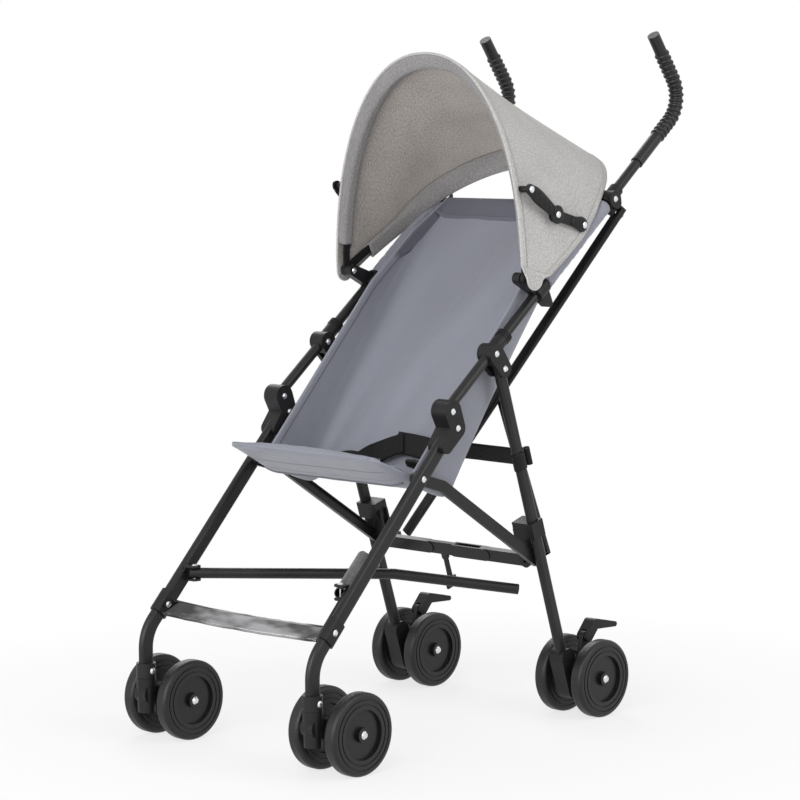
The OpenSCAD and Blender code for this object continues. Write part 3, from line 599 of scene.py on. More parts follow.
REAR_BOW = {"half": 191.4, "rise": 330, "power": 2.7, "base": PIVOT_YZ, "angle": 31}
BOW_T = 3
BOW_HALF_W = 6
SLEEVE_T = 1.4
SLEEVE_START = 0.8
SLEEVE_LAP = 4
SLEEVE_SINK = 0.4
SLEEVE_HANG = 7
SLEEVE_STEPS = 120
SLEEVE_CURVE = 4

# The sleeves' points round the bows: mm inside a bow's outer face, and mm to the rear of its middle plane

FRONT_WRAP = [(BOW_T + 1.6, -BOW_HALF_W - 2), (BOW_T + 2.6, 0), (BOW_T + 1.6, BOW_HALF_W + 2)]
REAR_WRAP = [(BOW_T + 1.6, -BOW_HALF_W - 2), (BOW_T + 2.6, 0)]
REAR_HANGING = [(BOW_T + 1, BOW_HALF_W + 2), (-2, BOW_HALF_W + 1.6)]


def rim_point(rim, turn, inset):
    """A point of a leaning arch, inset mm inside it; a skirt lowers its sides."""
    power = 2 / rim["power"]
    x = (rim["half"] - inset) * signed_power(math.cos(turn), power)
    reach = (rim["rise"] - inset) * max(math.sin(turn), 0) ** power
    lean = math.radians(rim["angle"])
    skirt = rim.get("skirt", 0) * smooth_step((SKIRT_END - reach) / SKIRT_FADE)
    y = reach * math.cos(lean) + skirt * math.sin(lean)
    z = reach * math.sin(lean) - skirt * math.cos(lean)
    return Vector((x, rim["base"][0] + y, rim["base"][1] + z))


def arch_turn(u):
    """The angle on an arch at share u of the way from its left hem over to its right one."""
    return math.radians(mix(HEM_ANGLE, 180 - HEM_ANGLE, u))


def slack(v, u):
    """How far the cloth hangs in from the straight lines between its hems."""
    hollow = HOLLOW * math.sin(math.pi * v) ** HOLLOW_POWER * math.sin(math.pi * u) if 0 < v < 1 else 0
    wave = RIPPLE * ripple(RIPPLES_OVER * u, RIPPLES_BACK * v, COVER_SEED)
    return hollow + wave * math.sin(math.pi * min(max(v, 0), 1))


def cover_mm(v, u, inset=0.0):
    """A point of the cover: v runs from the front hem to the rear one, u from the left side to the right."""
    turn = arch_turn(u)
    depth = inset + slack(v, u)
    return rim_point(FRONT_RIM, turn, depth).lerp(rim_point(REAR_RIM, turn, depth), v)


def from_hem(distance, u):
    """The v at a distance in mm behind the front hem, or ahead of the rear one where it is negative."""
    share = distance / (cover_mm(1, u) - cover_mm(0, u)).length
    return share if distance >= 0 else 1 + share


def even_u(share):
    """Spreads the columns of the cover so that its sides get as many as its top."""
    turn = math.cos(math.pi * share)
    return 0.5 - 0.5 * turn * (1 - SIDE_SPREAD + SIDE_SPREAD * abs(turn))


def canopy_piece(made):
    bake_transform(made)
    return made


def hem_line(distance, inset, bare=0.0):
    """A line along a hem at a distance from it; bare is the share left off at each side."""
    line = []
    for i in range(HEM_STEPS + 1):
        u = even_u(mix(bare, 1 - bare, i / HEM_STEPS))
        line.append(place(*cover_mm(from_hem(distance, u), u, inset)))
    return line


def binding(name, near, far):
    """A strip of cloth along a hem, between two distances from it."""
    grid = [hem_line(mix(near, far, r / BINDING_ROWS), -BINDING_GAP) for r in range(BINDING_ROWS + 1)]
    return canopy_piece(shell(name, grid, BINDING_T * MM, [ROOF_CLOTH]))


def hem_edge(name, distance):
    """The rounded fold of the cloth at a hem."""
    return canopy_piece(tube(name, hem_line(distance, CANOPY_T / 2), EDGE_R * MM, ROOF_CLOTH))


def bow_point(bow, u, inset, beside):
    """A point by a bow: inset mm inside its outer face and beside mm to the rear of its middle plane."""
    lean = math.radians(bow["angle"])
    return rim_point(bow, arch_turn(u), inset) + Vector((0, math.sin(lean), -math.cos(lean))) * beside


def sleeve_end(distance, u):
    """The point on the inside of the cover where a sleeve is sewn on."""
    return cover_mm(from_hem(distance, u), u, CANOPY_T + SLEEVE_SINK)


def front_sleeve_section(u):
    """The front sleeve from the hem, round the bow's inner face, back to the cover."""
    hem = cover_mm(from_hem(SLEEVE_START, u), u, CANOPY_T)
    wrap = [bow_point(FRONT_BOW, u, *spot) for spot in FRONT_WRAP]
    return [hem] + wrap + [sleeve_end(FRONT_BAND + SLEEVE_LAP, u)]


def rear_sleeve_section(u):
    """The rear sleeve from the cover, round the bow, up to the hem; it hangs lower at its sides."""
    reach = (bow_point(REAR_BOW, u, 0, 0).yz - Vector(PIVOT_YZ)).length
    low = SLEEVE_HANG * smooth_step((SKIRT_END - reach) / SKIRT_FADE)
    wrap = [bow_point(REAR_BOW, u, *spot) for spot in REAR_WRAP]
    wrap += [bow_point(REAR_BOW, u, inset, beside + low) for inset, beside in REAR_HANGING]
    return [sleeve_end(-REAR_BAND - SLEEVE_LAP, u)] + wrap + [cover_mm(1, u, SLEEVE_SINK)]


def bow_sleeve(name, section):
    rows = []
    for i in range(SLEEVE_STEPS + 1):
        points = section(even_u(mix(BARE_SHARE, 1 - BARE_SHARE, i / SLEEVE_STEPS)))
        rows.append([place(*p) for p in curve_through(points, SLEEVE_CURVE)])
    return canopy_piece(shell(name, rows, SLEEVE_T * MM, [ROOF_BAND]))


def make_cover():
    us = [even_u(c / COVER_COLS) for c in range(COVER_COLS + 1)]
    grid = []
    for r in range(COVER_ROWS + 1):
        grid.append([place(*cover_mm(r / COVER_ROWS, u, CANOPY_T / 2)) for u in us])
    # The inner face takes the painted-light copy of the canopy cloth.
    cover = canopy_piece(shell("canopy_shell", grid, CANOPY_T * MM, [ROOF_INSIDE_PAINTED_LIGHT, ROOF_CLOTH]))
    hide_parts("canopy_cover")
    hems = [
        bow_sleeve("canopy_front_sleeve", front_sleeve_section),
        bow_sleeve("canopy_rear_sleeve", rear_sleeve_section),
        binding("canopy_front_binding", BINDING_GAP, FRONT_HEM_W),
        binding("canopy_rear_binding", -REAR_HEM_W, -BINDING_GAP),
        hem_edge("canopy_front_edge", EDGE_IN),
        hem_edge("canopy_rear_edge", -EDGE_IN),
    ]
    seams = [hem_line(d, -SEAM_OUT, SEAM_ENDS) for d in (FRONT_HEM_W - SEAM_IN, SEAM_IN - REAR_HEM_W)]
    for distance in (FRONT_BAND + SLEEVE_SEAM, -REAR_BAND - SLEEVE_SEAM):
        seams.append(hem_line(distance, CANOPY_T + SLEEVE_T, BARE_SHARE))
    canopy_piece(stitches("canopy_stitching", seams, THREAD))


def make_tabs():
    """A rounded tab at each side that hangs over the canopy's pivot."""
    for side, sign in SIDES.items():
        u = 0 if sign > 0 else 1
        grid = []
        for r in range(TAB_ROWS + 1):
            line = []
            for c in range(TAB_COLS + 1):
                share = c / TAB_COLS
                turn = math.pi * (1 + share)
                y, z = TAB_YZ[0] + TAB_R * math.cos(turn), TAB_YZ[1] + TAB_R * math.sin(turn)
                high, low = cover_mm(share, u, CANOPY_T / 2), Vector((sign * TAB_X, y, z))
                line.append(place(*high.lerp(low, r / TAB_ROWS)))
            grid.append(line if sign > 0 else line[::-1])
        canopy_piece(shell("canopy_tab_" + side, grid, CANOPY_T * MM, [ROOF_CLOTH]))
        edge = [line[0] for line in grid] + grid[-1][1:] + [line[-1] for line in grid[::-1]][1:]
        canopy_piece(tube("canopy_tab_edge_" + side, edge, TAB_EDGE_R * MM, ROOF_CLOTH))


# Stays

STAY_POINTS = {"front": (380, 814), "knee": (440, 775), "rear": (505, 757)}
STAY_IN = 196.6
STAY_T = 3
STAY_STEP = 3.3
RIVET_R = 5.2
RIVET_RISE = 2.2
RIVET_SINK = 0.6
WASHER_RISE = 1.8
SKIN_GAP = 0.4
BOSS_R = 5
BOSS_SINK = 1
BOSS_SIDES = 20
HUB_R = 14
HUB_SINK = 0.5
HUB_RIM = 0.7
MOULDING_HALF = 8
SWELL = 3.5
SWELL_AT = 0.35
MOULDING_RISE = 3.2
MOULDING_STEPS = 32
MOULDING_START = -9
PAST_KNEE = 10
MOULDING_TIP = 0.02
REAR_MOULDING = 30
RIB_R = 0.9
RIB_HALF = 6
RIB_PITCH = 14
RIB_SIDES = 8
RIB_START = 8
RIB_STOP = 6
RIB_LIFT = 0.88
BOXY = 0.6
SEARCH_STEPS = 60
SEARCH_SIDE = 0.35


def round_ends(share, power):
    """1 along the middle of a length and 0 at both ends; a higher power makes it squarer."""
    return (1 - abs(2 * share - 1) ** power) ** 0.5


def cover_x(y, z):
    """Half the cover's width where its side passes the point (y, z)."""
    steps = range(SEARCH_STEPS + 1)
    spots = [cover_mm(i / SEARCH_STEPS, SEARCH_SIDE * j / SEARCH_STEPS) for i in steps for j in steps]
    return min(spots, key=lambda p: (p.y - y) ** 2 + (p.z - z) ** 2).x


def arm_moulding(body, x, sign, start, way, last):
    """A raised, waisted moulding with zigzag ribs on the outer face of a stay's arm."""
    side = Vector((-way.y, way.x))

    def spot(t, across, rise):
        p = start + way * t + side * across
        return place(sign * (x + rise), p.x, p.y)

    rings = []
    for i in range(MOULDING_STEPS + 1):
        share = i / MOULDING_STEPS
        t = mix(MOULDING_START, last, share)
        end = round_ends(share, 5) + MOULDING_TIP
        swell = SWELL * math.cos(math.pi * (share - SWELL_AT)) ** 2
        wide, tall = (MOULDING_HALF + swell) * end, MOULDING_RISE * end
        turns = [math.tau * k / RING_SIDES for k in range(RING_SIDES + 1)]
        rings.append([spot(t, wide * signed_power(math.cos(a), BOXY), tall * math.sin(a)) for a in turns])
    ride(ring_skin(body + "_moulding", rings, PLASTIC), body)
    count = 2 * round((last - MOULDING_START) / RIB_PITCH)
    zigzag = []
    for k in range(count + 1):
        t = mix(MOULDING_START + RIB_START, last - RIB_STOP, k / count)
        zigzag.append(spot(t, RIB_HALF if k % 2 else -RIB_HALF, MOULDING_RISE * RIB_LIFT))
    ride(tube(body + "_ribs", zigzag, RIB_R * MM, PLASTIC, RIB_SIDES), body)


def make_stays():
    for side, sign in SIDES.items():
        out = Vector((sign, 0, 0))
        rear, front = side + "_stay_rear", side + "_stay_front"
        face = {rear: STAY_IN + STAY_T, front: STAY_IN + STAY_STEP + STAY_T}
        for name, body in (("front", front), ("knee", front), ("rear", rear)):
            y, z = STAY_POINTS[name]
            label = "%s_stay_%s_" % (side, name)
            top = place(sign * (face[body] + MOULDING_RISE - RIVET_SINK), y, z)
            ride(dome(label + "rivet", top, out, RIVET_R * MM, RIVET_RISE * MM, STEEL), body)
            if name == "knee":
                continue
            skin = cover_x(y, z) + SKIN_GAP
            boss = [place(sign * skin, y, z), place(sign * (face[body] - BOSS_SINK), y, z)]
            ride(tube(label + "boss", boss, BOSS_R * MM, PLASTIC, BOSS_SIDES), body)
            inside = place(sign * (skin - CANOPY_T - RIVET_SINK), y, z)
            washer = dome(label + "washer", inside, -out, RIVET_R * MM, WASHER_RISE * MM, STEEL)
            canopy_piece(washer)
        knee = Vector(STAY_POINTS["knee"])
        middle = place(sign * (face[front] - HUB_SINK), *knee)
        hub = dome(side + "_stay_hub", middle, out, HUB_R * MM, MOULDING_RISE * MM, PLASTIC, HUB_RIM)
        ride(hub, front)
        for arm, body in (("front", front), ("rear", rear)):
            start = Vector(STAY_POINTS[arm])
            way = knee - start
            last = way.length + PAST_KNEE if arm == "front" else REAR_MOULDING
            arm_moulding(body, face[body], sign, start, way.normalized(), last)


# Seat

SLING_FRONT = [(182, 394), (205, 374), (234, 361), (262, 356.5)]
SEAT_LOW = (268, 357)
BACK_BEND = (310, 450)
BACK_TOP = (592, 788)
BACK_POINTS = 10
BACK_SAG = 7
SAG_END = 1.05
FLOOR_LIFT = 22
FLOOR_END = 0.27
FLOOR_FADE = 0.12
FLOOR_IN = 6
FLOOR_SIDE = 36
WING_LOW = (172, 404)
WING_HIGH = [(411, 664), (505, 739)]
WING_TOP_T = 343
WING_FULL = 60
NO_DEPTH = 0.01
SLING_X = 149
EDGE_X = 155.5
SLING_T = 2.4
SLING_ROWS = 96
BACK_COLS = 16
FILLET_COLS = 8
WING_COLS = 10
FILLET = 26
FILLET_SHARE = 0.6
FOLD_OUT = 4
FOLD_SIDE = 40
FRONT_FADE = 1 / 5
TOP_FADE = 1 / 9
SEAT_HEM_ROW = 2
SEAT_HEM_W = 11
SEAT_HEM_T = 4.2
SEAT_HEM_COLS = 5
SEAT_HEM_MOST = 0.96
CORNER_W = 46
CORNER_ROW = int(SLING_ROWS * 0.74)
TOP_BAND_ROW = SLING_ROWS - 6
TOP_BAND_T = 4.6
TOP_EDGE_R = 2.5
TOP_SEAM_OUT = Vector((0, -2.4, 1.6)) * MM
TOP_SEAM_ENDS = 4
SEAT_EDGE_R = 2.2
SIDE_SEAM = 9
SIDE_SEAM_IN = 2.3

# The sling's two sets of folds: height and pitch in mm, slant, waves over its length and noise seed

SOFT_FOLDS = [(13, 58, 4.4, 0.9, 0.7), (3, 24, 4, 2.6, 3.1)]


def even_line(points, count):
    """A line through points, cut into count parts of one length."""
    ways = ways_along(points)
    return [point_at(points, ways, ways[-1] * i / count) for i in range(count + 1)]


def flat_vectors(pairs):
    return [Vector(pair) for pair in pairs]


def back_line():
    """Points of the back, from the seat's lowest point round the bend to the top."""
    low, middle, top = flat_vectors([SEAT_LOW, BACK_BEND, BACK_TOP])
    return [bend(low, middle, top, i / BACK_POINTS) for i in range(1, BACK_POINTS + 1)]


SLING_LINE = even_line(curve_through(flat_vectors(SLING_FRONT) + back_line()), SLING_ROWS)
WING_LINE = even_line(flat_vectors([WING_LOW] + WING_HIGH + [handle_at(WING_TOP_T)]), SLING_ROWS)


def sling_normal(i):
    way = way_at(SLING_LINE, i)
    return Vector((-way.y, way.x))


def soft_fold(x, i):
    """Slanting folds of the sling, which fade out at its front and top."""
    share = i / SLING_ROWS
    rise = 0
    for height, pitch, slant, waves, seed in SOFT_FOLDS:
        rise += height * ripple(x / pitch - share * slant, share * waves, seed)
    return rise * smooth_step(share / FRONT_FADE) * smooth_step((1 - share) / TOP_FADE)


def wing_depth(i):
    return max((WING_LINE[i] - SLING_LINE[i]).length, NO_DEPTH)


def wing_spot(i, share):
    """A wing's x and its (y, z) point at a share of the way up from the back to its edge."""
    bulge = math.sin(math.pi * share) * smooth_step(wing_depth(i) / WING_FULL)
    return mix(SLING_X, EDGE_X, share) + bulge, SLING_LINE[i].lerp(WING_LINE[i], share)


def wing_at(i, sign, distance):
    """A point of a wing, distance mm in from its upper edge."""
    x, p = wing_spot(i, 1 - min(distance / wing_depth(i), 1))
    return place(sign * x, p.x, p.y)


def half_row(i):
    """One row of the sling as (x, point) pairs, from its middle out and up the wing."""
    low, high, normal = SLING_LINE[i], WING_LINE[i], sling_normal(i)
    fillet = min(FILLET, wing_depth(i) * FILLET_SHARE)
    share = i / SLING_ROWS
    sag = BACK_SAG * math.sin(math.pi * min(share * SAG_END, 1))
    floor = FLOOR_LIFT * smooth_step((FLOOR_END - share) / FLOOR_FADE)
    half = []
    for k in range(BACK_COLS + 1):
        x = (SLING_X - fillet) * k / BACK_COLS
        lift = floor * smooth_step((SLING_X - FLOOR_IN - x) / FLOOR_SIDE)
        half.append((x, low + normal * (lift - sag * (1 - (x / SLING_X) ** 2))))
    start = half[-1]
    rise = fillet / wing_depth(i)
    end = (mix(SLING_X, EDGE_X, rise), low.lerp(high, rise))
    for k in range(1, FILLET_COLS + 1):
        t = k / FILLET_COLS
        half.append((bend(start[0], SLING_X, end[0], t), bend(start[1], low, end[1], t)))
    return half + [wing_spot(i, mix(rise, 1, k / WING_COLS)) for k in range(1, WING_COLS + 1)]


def sling_row(i):
    """One row of the sling from its left edge, down the wing, over the back and up to its right edge."""
    half = half_row(i)
    row = []
    for sign, part in ((1, half[::-1]), (-1, half[1:])):
        for x, p in part:
            inner = smooth_step((SLING_X + FOLD_OUT - x) / FOLD_SIDE)
            moved = p + sling_normal(i) * soft_fold(sign * x, i) * inner
            row.append(place(sign * x, moved.x, moved.y))
    return row


def seat_piece(made):
    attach(made, "left_side")
    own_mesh(made)
    return made


def wing_band(name, side, first, last, widths, cloth):
    """A doubled band along a wing's edge that goes from one width to another."""
    grid = []
    for i in range(first, last + 1):
        width = min(mix(*widths, (i - first) / (last - first)), SEAT_HEM_MOST * wing_depth(i))
        line = [wing_at(i, SIDES[side], width * c / SEAT_HEM_COLS) for c in range(SEAT_HEM_COLS + 1)]
        grid.append(line[::-1] if side == "left" else line)
    return seat_piece(shell("seat_%s_%s" % (name, side), grid, SEAT_HEM_T * MM, [cloth]))


def make_sling():
    rows = [sling_row(i) for i in range(SLING_ROWS + 1)]
    sling = seat_piece(shell("seat_sling", rows, SLING_T * MM, [SEAT_CLOTH]))
    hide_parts("seat")
    trims = [seat_piece(shell("seat_top_band", rows[TOP_BAND_ROW:], TOP_BAND_T * MM, [SEAT_BAND])),
             seat_piece(tube("seat_top_edge", rows[-1], TOP_EDGE_R * MM, SEAT_BAND))]
    seams = [[p + TOP_SEAM_OUT for p in rows[TOP_BAND_ROW + 1][TOP_SEAM_ENDS:-TOP_SEAM_ENDS]]]
    hem_widths, corner_widths = (SEAT_HEM_W, SEAT_HEM_W), (SEAT_HEM_W, CORNER_W)
    for side, sign in SIDES.items():
        trims.append(wing_band("hem", side, SEAT_HEM_ROW, CORNER_ROW, hem_widths, SEAT_CLOTH))
        trims.append(wing_band("corner", side, CORNER_ROW, TOP_BAND_ROW, corner_widths, SEAT_BAND))
        edge = [wing_at(i, sign, 0) for i in range(SLING_ROWS + 1)]
        trims.append(seat_piece(tube("seat_edge_" + side, edge, SEAT_EDGE_R * MM, SEAT_CLOTH)))
        inward = Vector((-sign * SIDE_SEAM_IN * MM, 0, 0))
        seams.append([wing_at(i, sign, SIDE_SEAM) + inward for i in range(SEAT_HEM_ROW, CORNER_ROW)])
    seat_piece(stitches("seat_stitching", seams, SEAT_THREAD))


GATHER_SPAN = (159, 336)
GATHER_R = 10.6
GATHER_SAG = 2.6
GATHER_CREASE = 1.1
GATHER_PITCH = 9
GATHER_STEPS = 60
GATHER_SIDES = 32


def make_sleeves():
    """The sling's sides wrap the upper handles as gathered sleeves."""
    up = Vector((0, -math.sin(HANDLE_SLOPE), math.cos(HANDLE_SLOPE)))
    for side, sign in SIDES.items():
        rings = []
        for i in range(GATHER_STEPS + 1):
            t = mix(*GATHER_SPAN, i / GATHER_STEPS)
            ring = []
            for k in range(GATHER_SIDES + 1):
                turn = math.tau * k / GATHER_SIDES
                c, s = math.cos(turn), math.sin(turn)
                crease = GATHER_CREASE * ripple(t / GATHER_PITCH, 2 * c, 2 * s + sign)
                reach = GATHER_R + crease + GATHER_SAG * max(0, -s) ** 3
                out = Vector((sign * c, 0, 0)) + up * s
                ring.append(place(sign * SIDE_X, *handle_at(t)) + out * reach * MM)
            rings.append(ring)
        ride(ring_skin("seat_sleeve_" + side, rings, SEAT_CLOTH), side + "_side")


PAN_TOP = [(97, 438), (120, 429), (150, 415), (185, 402), (220, 388), (250, 378), (264, 375)]
PAN_LOW = [(258, 370), (225, 375), (195, 381), (164, 388), (140, 402), (115, 418), (99, 428.5)]
PAN_SEAMS = [(128, 409.3), (150, 395.5)]
PAN_LOW_HEM = (164, 388)
PAN_FRONT_SEAM = (97.5, 434.5)
PAN_FRONT_R = 1.7
PAN_HEM_R = 2.2
PAN_HALF = 154
PAN_FRONT_HALF = 140
PAN_HEM_HALF = 144
PAN_NOSE_Y = 97
PAN_LENGTH = 165
PAN_AXIS_Z = (434, 372)
PAN_END_POWER = 10
PAN_END_GAP = 0.6
PAN_CROWN = 4
PAN_CREASE = 1.3
PAN_CREASE_X = 34
PAN_CREASE_Y = 40
PAN_SEED = 6.1
PAN_CORNER = 14
PAN_CORNER_GAP = 0.5
PAN_CURVE = 5
PAN_STEPS = 72


def pan_skin(x, y, z):
    """The height of the pan's cloth where its middle section has the point (y, z)."""
    axis_z = mix(*PAN_AXIS_Z, (y - PAN_NOSE_Y) / PAN_LENGTH)
    end = (1 - min(abs(x) / (PAN_HALF + PAN_END_GAP), 1) ** PAN_END_POWER) ** 0.5
    crown = PAN_CROWN * (1 - (x / PAN_HALF) ** 2) if z > axis_z else 0
    crease = PAN_CREASE * ripple(x / PAN_CREASE_X, y / PAN_CREASE_Y, PAN_SEED)
    return axis_z + (z - axis_z) * end + crown + crease


def pan_line(y, z, half, step):
    """A line across the pan's cloth."""
    return [place(x, y, pan_skin(x, y, z)) for x in range(-half, half + 1, step)]


def make_pan():
    """The seat board in its cloth: a wedge that is thin at the front, crowned, with rounded ends."""
    top, low = [curve_through(flat_vectors(line), PAN_CURVE) for line in (PAN_TOP, PAN_LOW)]
    loop = top[:-1] + low + top[:1]
    rings = []
    for c in range(PAN_STEPS + 1):
        x = PAN_HALF * math.sin(math.pi * (c / PAN_STEPS - 0.5))
        over = max(0, abs(x) - PAN_HALF + PAN_CORNER) / (PAN_CORNER + PAN_CORNER_GAP)
        front_y = PAN_NOSE_Y + PAN_CORNER * (1 - math.sqrt(1 - over * over))
        rings.append([place(x, max(p.x, front_y), pan_skin(x, p.x, p.y)) for p in loop])
    pan = seat_piece(ring_skin("seat_pan", rings, SEAT_CLOTH))
    front = [place(x, *PAN_FRONT_SEAM) for x in range(-PAN_FRONT_HALF, PAN_FRONT_HALF + 1, 10)]
    seat_piece(tube("seat_pan_front_seam", front, PAN_FRONT_R * MM, SEAT_CLOTH))
    # The low hem is a real hem, and its dark band colour also paints in the shade along the pan's lower edge.
    low = pan_line(*PAN_LOW_HEM, PAN_HEM_HALF, 4)
    seat_piece(tube("seat_pan_low_hem", low, PAN_HEM_R * MM, SEAT_BAND))
    seams = [pan_line(y, z, PAN_HEM_HALF, 6) for y, z in PAN_SEAMS]
    seat_piece(stitches("seat_pan_stitching", seams, SEAT_THREAD))


# Straps

HARNESS = {
    "waist_near": ([(-2, 300, 430), (30, 301, 428), (66, 298, 425), (98, 288, 420), (122, 268, 412)], 36),
    "waist_far": ([(18, 299, 431), (0, 292, 424), (-18, 278, 414), (-28, 258, 402)], 34),
    "crotch": ([(-14, 180, 410), (0, 184, 416), (18, 190, 417), (36, 200, 410)], 24),
}
STRAP_LEAN = Vector((0, 0.55, 0.83))
STRAP_T = 1.6
STRAP_COLS = 6


def strap(name, path, across, width):
    """Flat webbing along a path; across gives its width's direction at each point."""
    grid = []
    for p, side in zip(path, across):
        grid.append([p + side * width * MM * (c / STRAP_COLS - 0.5) for c in range(STRAP_COLS + 1)])
    return shell(name, grid, STRAP_T * MM, [WEBBING])


def make_harness():
    for name, (points, width) in HARNESS.items():
        path = curve_through([place(*p) for p in points])
        across = []
        for i in range(len(path)):
            way = way_at(path, i)
            across.append((STRAP_LEAN - way * STRAP_LEAN.dot(way)).normalized())
        seat_piece(strap("harness_" + name, path, across, width))
    seat_piece(make_buckle())


BUCKLE_AT = (100, 240, 409)
BUCKLE_LENGTH = 26
BUCKLE_HALF_W = 20
BUCKLE_HALF_T = 5.5
BUCKLE_WAIST = 0.14
BUCKLE_TIP = (0.5, 0.4)
BUCKLE_SLOPE = 0.45


def make_buckle():
    """A buckle as one rounded body with waisted sides."""
    rings = []
    for i in range(RING_SIDES + 1):
        share = i / RING_SIDES
        y = BUCKLE_LENGTH * (share - 0.5)
        waist = 1 - BUCKLE_WAIST + BUCKLE_WAIST * math.cos(4 * math.pi * share)
        half = BUCKLE_HALF_W * round_ends(share, 3) * waist + BUCKLE_TIP[0]
        tall = BUCKLE_HALF_T * round_ends(share, 4) + BUCKLE_TIP[1]
        ring = []
        for k in range(RING_SIDES + 1):
            turn = math.tau * k / RING_SIDES
            x, z = half * signed_power(math.cos(turn), BOXY), tall * signed_power(math.sin(turn), BOXY)
            ring.append(place(BUCKLE_AT[0] + x, BUCKLE_AT[1] + y, BUCKLE_AT[2] + z - BUCKLE_SLOPE * y))
        rings.append(ring)
    return ring_skin("harness_buckle", rings, PLASTIC)


FOOT_YZ = (-20, 199)
FOOT_REACH = 162.4
FOOT_SAG = 5
FOOT_TILT = math.radians(35)
FOOT_HALF = 14
FOOT_T = 2
FOOT_WAVE = 0.9
FOOT_WAVE_X = 24
FOOT_WAVE_ACROSS = 18
FOOT_SEED = 8.3
FOOT_STEPS = 60
FOOT_COLS = 8
PIPING_R = 2.1


def foot_point(x, across):
    """A point of the foot strap; across runs from its front edge to its rear one."""
    round_r = (FOOT_REACH ** 2 + FOOT_SAG ** 2) / (2 * FOOT_SAG)
    drop = round_r - math.sqrt(round_r * round_r - x * x) - FOOT_SAG
    rise = drop + FOOT_WAVE * ripple(x / FOOT_WAVE_X, across / FOOT_WAVE_ACROSS, FOOT_SEED)
    y = across * math.cos(FOOT_TILT) - rise * math.sin(FOOT_TILT)
    z = across * math.sin(FOOT_TILT) + rise * math.cos(FOOT_TILT)
    return place(x, FOOT_YZ[0] + y, FOOT_YZ[1] + z)


def foot_piece(made):
    return seat_piece(made)


def make_foot_strap():
    xs = [FOOT_REACH * (i / FOOT_STEPS - 1) for i in range(2 * FOOT_STEPS + 1)]
    rows = [FOOT_HALF * (c / FOOT_COLS - 1) for c in range(2 * FOOT_COLS + 1)]
    grid = [[foot_point(x, across) for across in rows] for x in xs]
    sheet = foot_piece(shell("foot_sheet", grid, FOOT_T * MM, [FOOT_SHEET]))
    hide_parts("foot_strap")
    for name, edge in (("front", -FOOT_HALF), ("rear", FOOT_HALF)):
        line = [foot_point(x, edge) for x in xs]
        foot_piece(tube("foot_piping_" + name, line, PIPING_R * MM, FOOT_SHEET))


BELT_Z = 408
BELT_W = 27
BELT_GAP = 2.6
BELT_SAG = 2.5
BELT_WAVE = 0.8
BELT_WAVE_X = 40
BELT_SEED = (0.3, 2.2)
BELT_STEPS = 40
LEG_HALF_W = 10
LEG_HALF_T = 6
LOOP_GAP = 1.4
LOOP_STEPS = 48
ROLL_TURNS = 1.6
ROLL_R = (2.2, 5.8)
ROLL_BACK = 9
ROLL_OUT = 1
ROLL_STEPS = 40


def make_rear_strap():
    """Webbing between the rear legs, looped round each and rolled at its end."""
    y0 = rear_at(BELT_Z)
    up = Vector((0, -math.cos(REAR_SLOPE), math.sin(REAR_SLOPE)))
    back = Vector((0, math.sin(REAR_SLOPE), math.cos(REAR_SLOPE)))
    path = []
    for i in range(BELT_STEPS + 1):
        share = i / BELT_STEPS
        x = SIDE_X * (1 - 2 * share)
        wave = BELT_WAVE * ripple(x / BELT_WAVE_X, *BELT_SEED)
        reach = LEG_HALF_W + BELT_GAP + BELT_SAG * math.sin(math.pi * share) + wave
        path.append(place(x, y0, BELT_Z) + back * reach * MM)
    belt = strap("rear_strap", path, [up] * len(path), BELT_W)
    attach(belt, "left_rear_leg")
    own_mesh(belt)
    for side, sign in SIDES.items():
        middle = place(sign * SIDE_X, y0, BELT_Z)
        loop, roll = [], []
        for k in range(LOOP_STEPS + 1):
            turn = math.tau * k / LOOP_STEPS
            flat = Vector((sign * (LEG_HALF_T + LOOP_GAP) * math.cos(turn) * MM, 0, 0))
            loop.append(middle + flat + back * (LEG_HALF_W + LOOP_GAP) * math.sin(turn) * MM)
        roll_middle = place(sign * (SIDE_X + ROLL_OUT), y0, BELT_Z)
        roll_middle += back * (LEG_HALF_W + ROLL_BACK) * MM
        for k in range(ROLL_STEPS + 1):
            turn = math.tau * ROLL_TURNS * k / ROLL_STEPS
            out = Vector((math.cos(turn), 0, 0)) + back * math.sin(turn)
            roll.append(roll_middle + out * mix(*ROLL_R, k / ROLL_STEPS) * MM)
        for name, line in (("loop", loop), ("roll", roll)):
            made = strap("rear_strap_%s_%s" % (name, side), line, [up] * len(line), BELT_W)
            ride(made, side + "_rear_leg")


# Scene

FLOOR_HALF = 12
FLOOR_GREY = 0.8
FLOOR_WHITE_FROM = 0.45
FLOOR_WHITE_AT = 1.0
FLOOR_WHITE_SHARE = 0.72
WORLD_LIGHT = 0.55
WHITE = (1, 1, 1, 1)


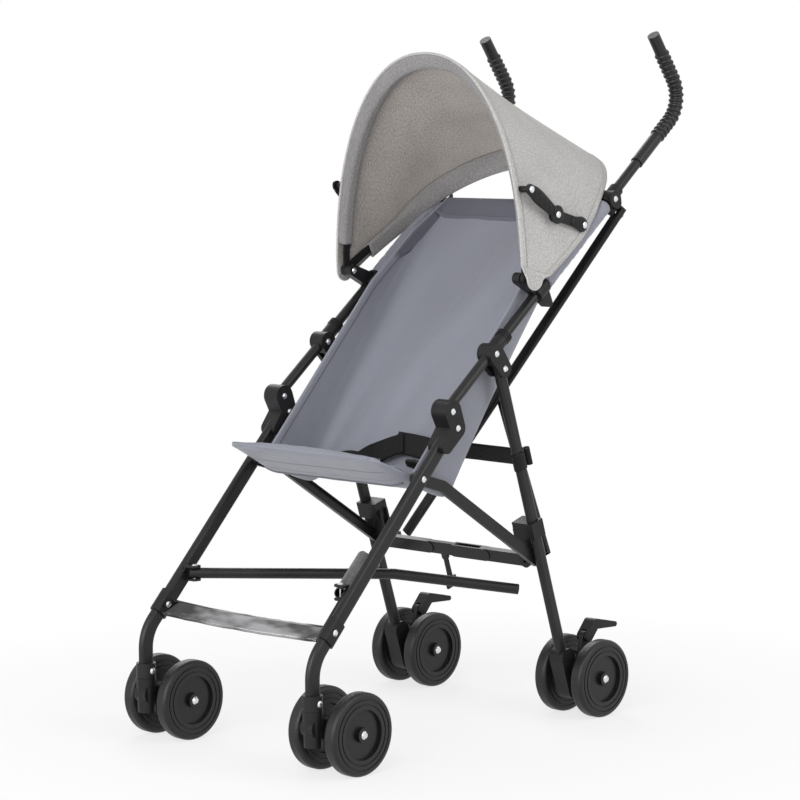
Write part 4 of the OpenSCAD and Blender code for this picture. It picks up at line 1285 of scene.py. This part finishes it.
def make_floor():
    """A pale floor that keeps the shadow under the part and turns white away from it."""
    corners = [(x * FLOOR_HALF, y * FLOOR_HALF, 0) for x, y in ((-1, -1), (1, -1), (1, 1), (-1, 1))]
    mesh = bpy.data.meshes.new("floor")
    mesh.from_pydata(corners, [], [(0, 1, 2, 3)])
    floor = bpy.data.objects.new("floor", mesh)
    floor.location = place(0, CAMERA_TARGET[1], 0)
    bpy.context.scene.collection.objects.link(floor)
    material = bpy.data.materials.new("floor")
    material.use_nodes = True
    mesh.materials.append(material)
    n = Nodes(material.node_tree)
    n.nodes.clear()
    reach = n.vector("LENGTH", n.node("ShaderNodeTexCoord").outputs["Object"])
    share = n.range(reach, FLOOR_WHITE_SHARE, 1.0, FLOOR_WHITE_FROM, FLOOR_WHITE_AT)
    lit = n.node("ShaderNodeBsdfDiffuse", Color=(FLOOR_GREY, FLOOR_GREY, FLOOR_GREY, 1))
    white = n.node("ShaderNodeEmission", Strength=1.0)
    n.link(n.seen_white(share, lit, white), n.node("ShaderNodeOutputMaterial").inputs["Surface"])


def make_world():
    world = bpy.data.worlds.new("world")
    bpy.context.scene.world = world
    world.use_nodes = True
    n = Nodes(world.node_tree)
    n.nodes.clear()
    lit = n.node("ShaderNodeBackground", Color=WHITE, Strength=WORLD_LIGHT)
    white = n.node("ShaderNodeBackground", Color=WHITE, Strength=1.0)
    n.link(n.seen_white(1.0, lit, white), n.node("ShaderNodeOutputWorld").inputs["Surface"])


# Each lamp's place and size in metres, and its power in watts

LAMPS = {
    "key": ((1.6, -3.6, 2.0), 2.6, 105),
    "fill": ((3.6, 0.6, 2.2), 2.4, 50),
    "low": ((-0.6, -3.4, 0.7), 2.0, 34),
    "rim": ((-2.8, 2.0, 2.8), 2.2, 45),
}


def make_lamps():
    middle = place(0, CAMERA_TARGET[1], CAMERA_TARGET[2])
    for name, (where, size, power) in LAMPS.items():
        data = bpy.data.lights.new(name, "AREA")
        data.size = size
        data.energy = power
        lamp = bpy.data.objects.new(name, data)
        lamp.location = where
        lamp.rotation_euler = (middle - Vector(where)).to_track_quat("-Z", "Y").to_euler()
        bpy.context.scene.collection.objects.link(lamp)


NODE_ENDINGS = {
    FRAME_BLACK: ("handle_tube", "front_leg", "rear_leg", "brace_tube", "side_link", "floor_bar",
                  "cross_bar"),
    RUBBER: ("_grip",),
    STEEL: ("frame_rivets", "_axle"),
}


def dress_nodes():
    for name, node in nodes.items():
        node.data.materials.clear()
        if "_wheel_" in name:
            lo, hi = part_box(name)
            node.data.materials.append(wheel_foam(name, (lo + hi) / 2, (hi.z - lo.z) / 2))
            continue
        fits = [material for material, endings in NODE_ENDINGS.items() if name.endswith(endings)]
        node.data.materials.append(fits[0] if fits else PLASTIC)


make_camera()
make_world()
make_lamps()
make_floor()
dress_nodes()
make_cover()
make_tabs()
make_stays()
make_sling()
make_sleeves()
make_pan()
make_harness()
make_foot_strap()
make_rear_strap()
bpy.context.scene.view_settings.view_transform = "Standard"
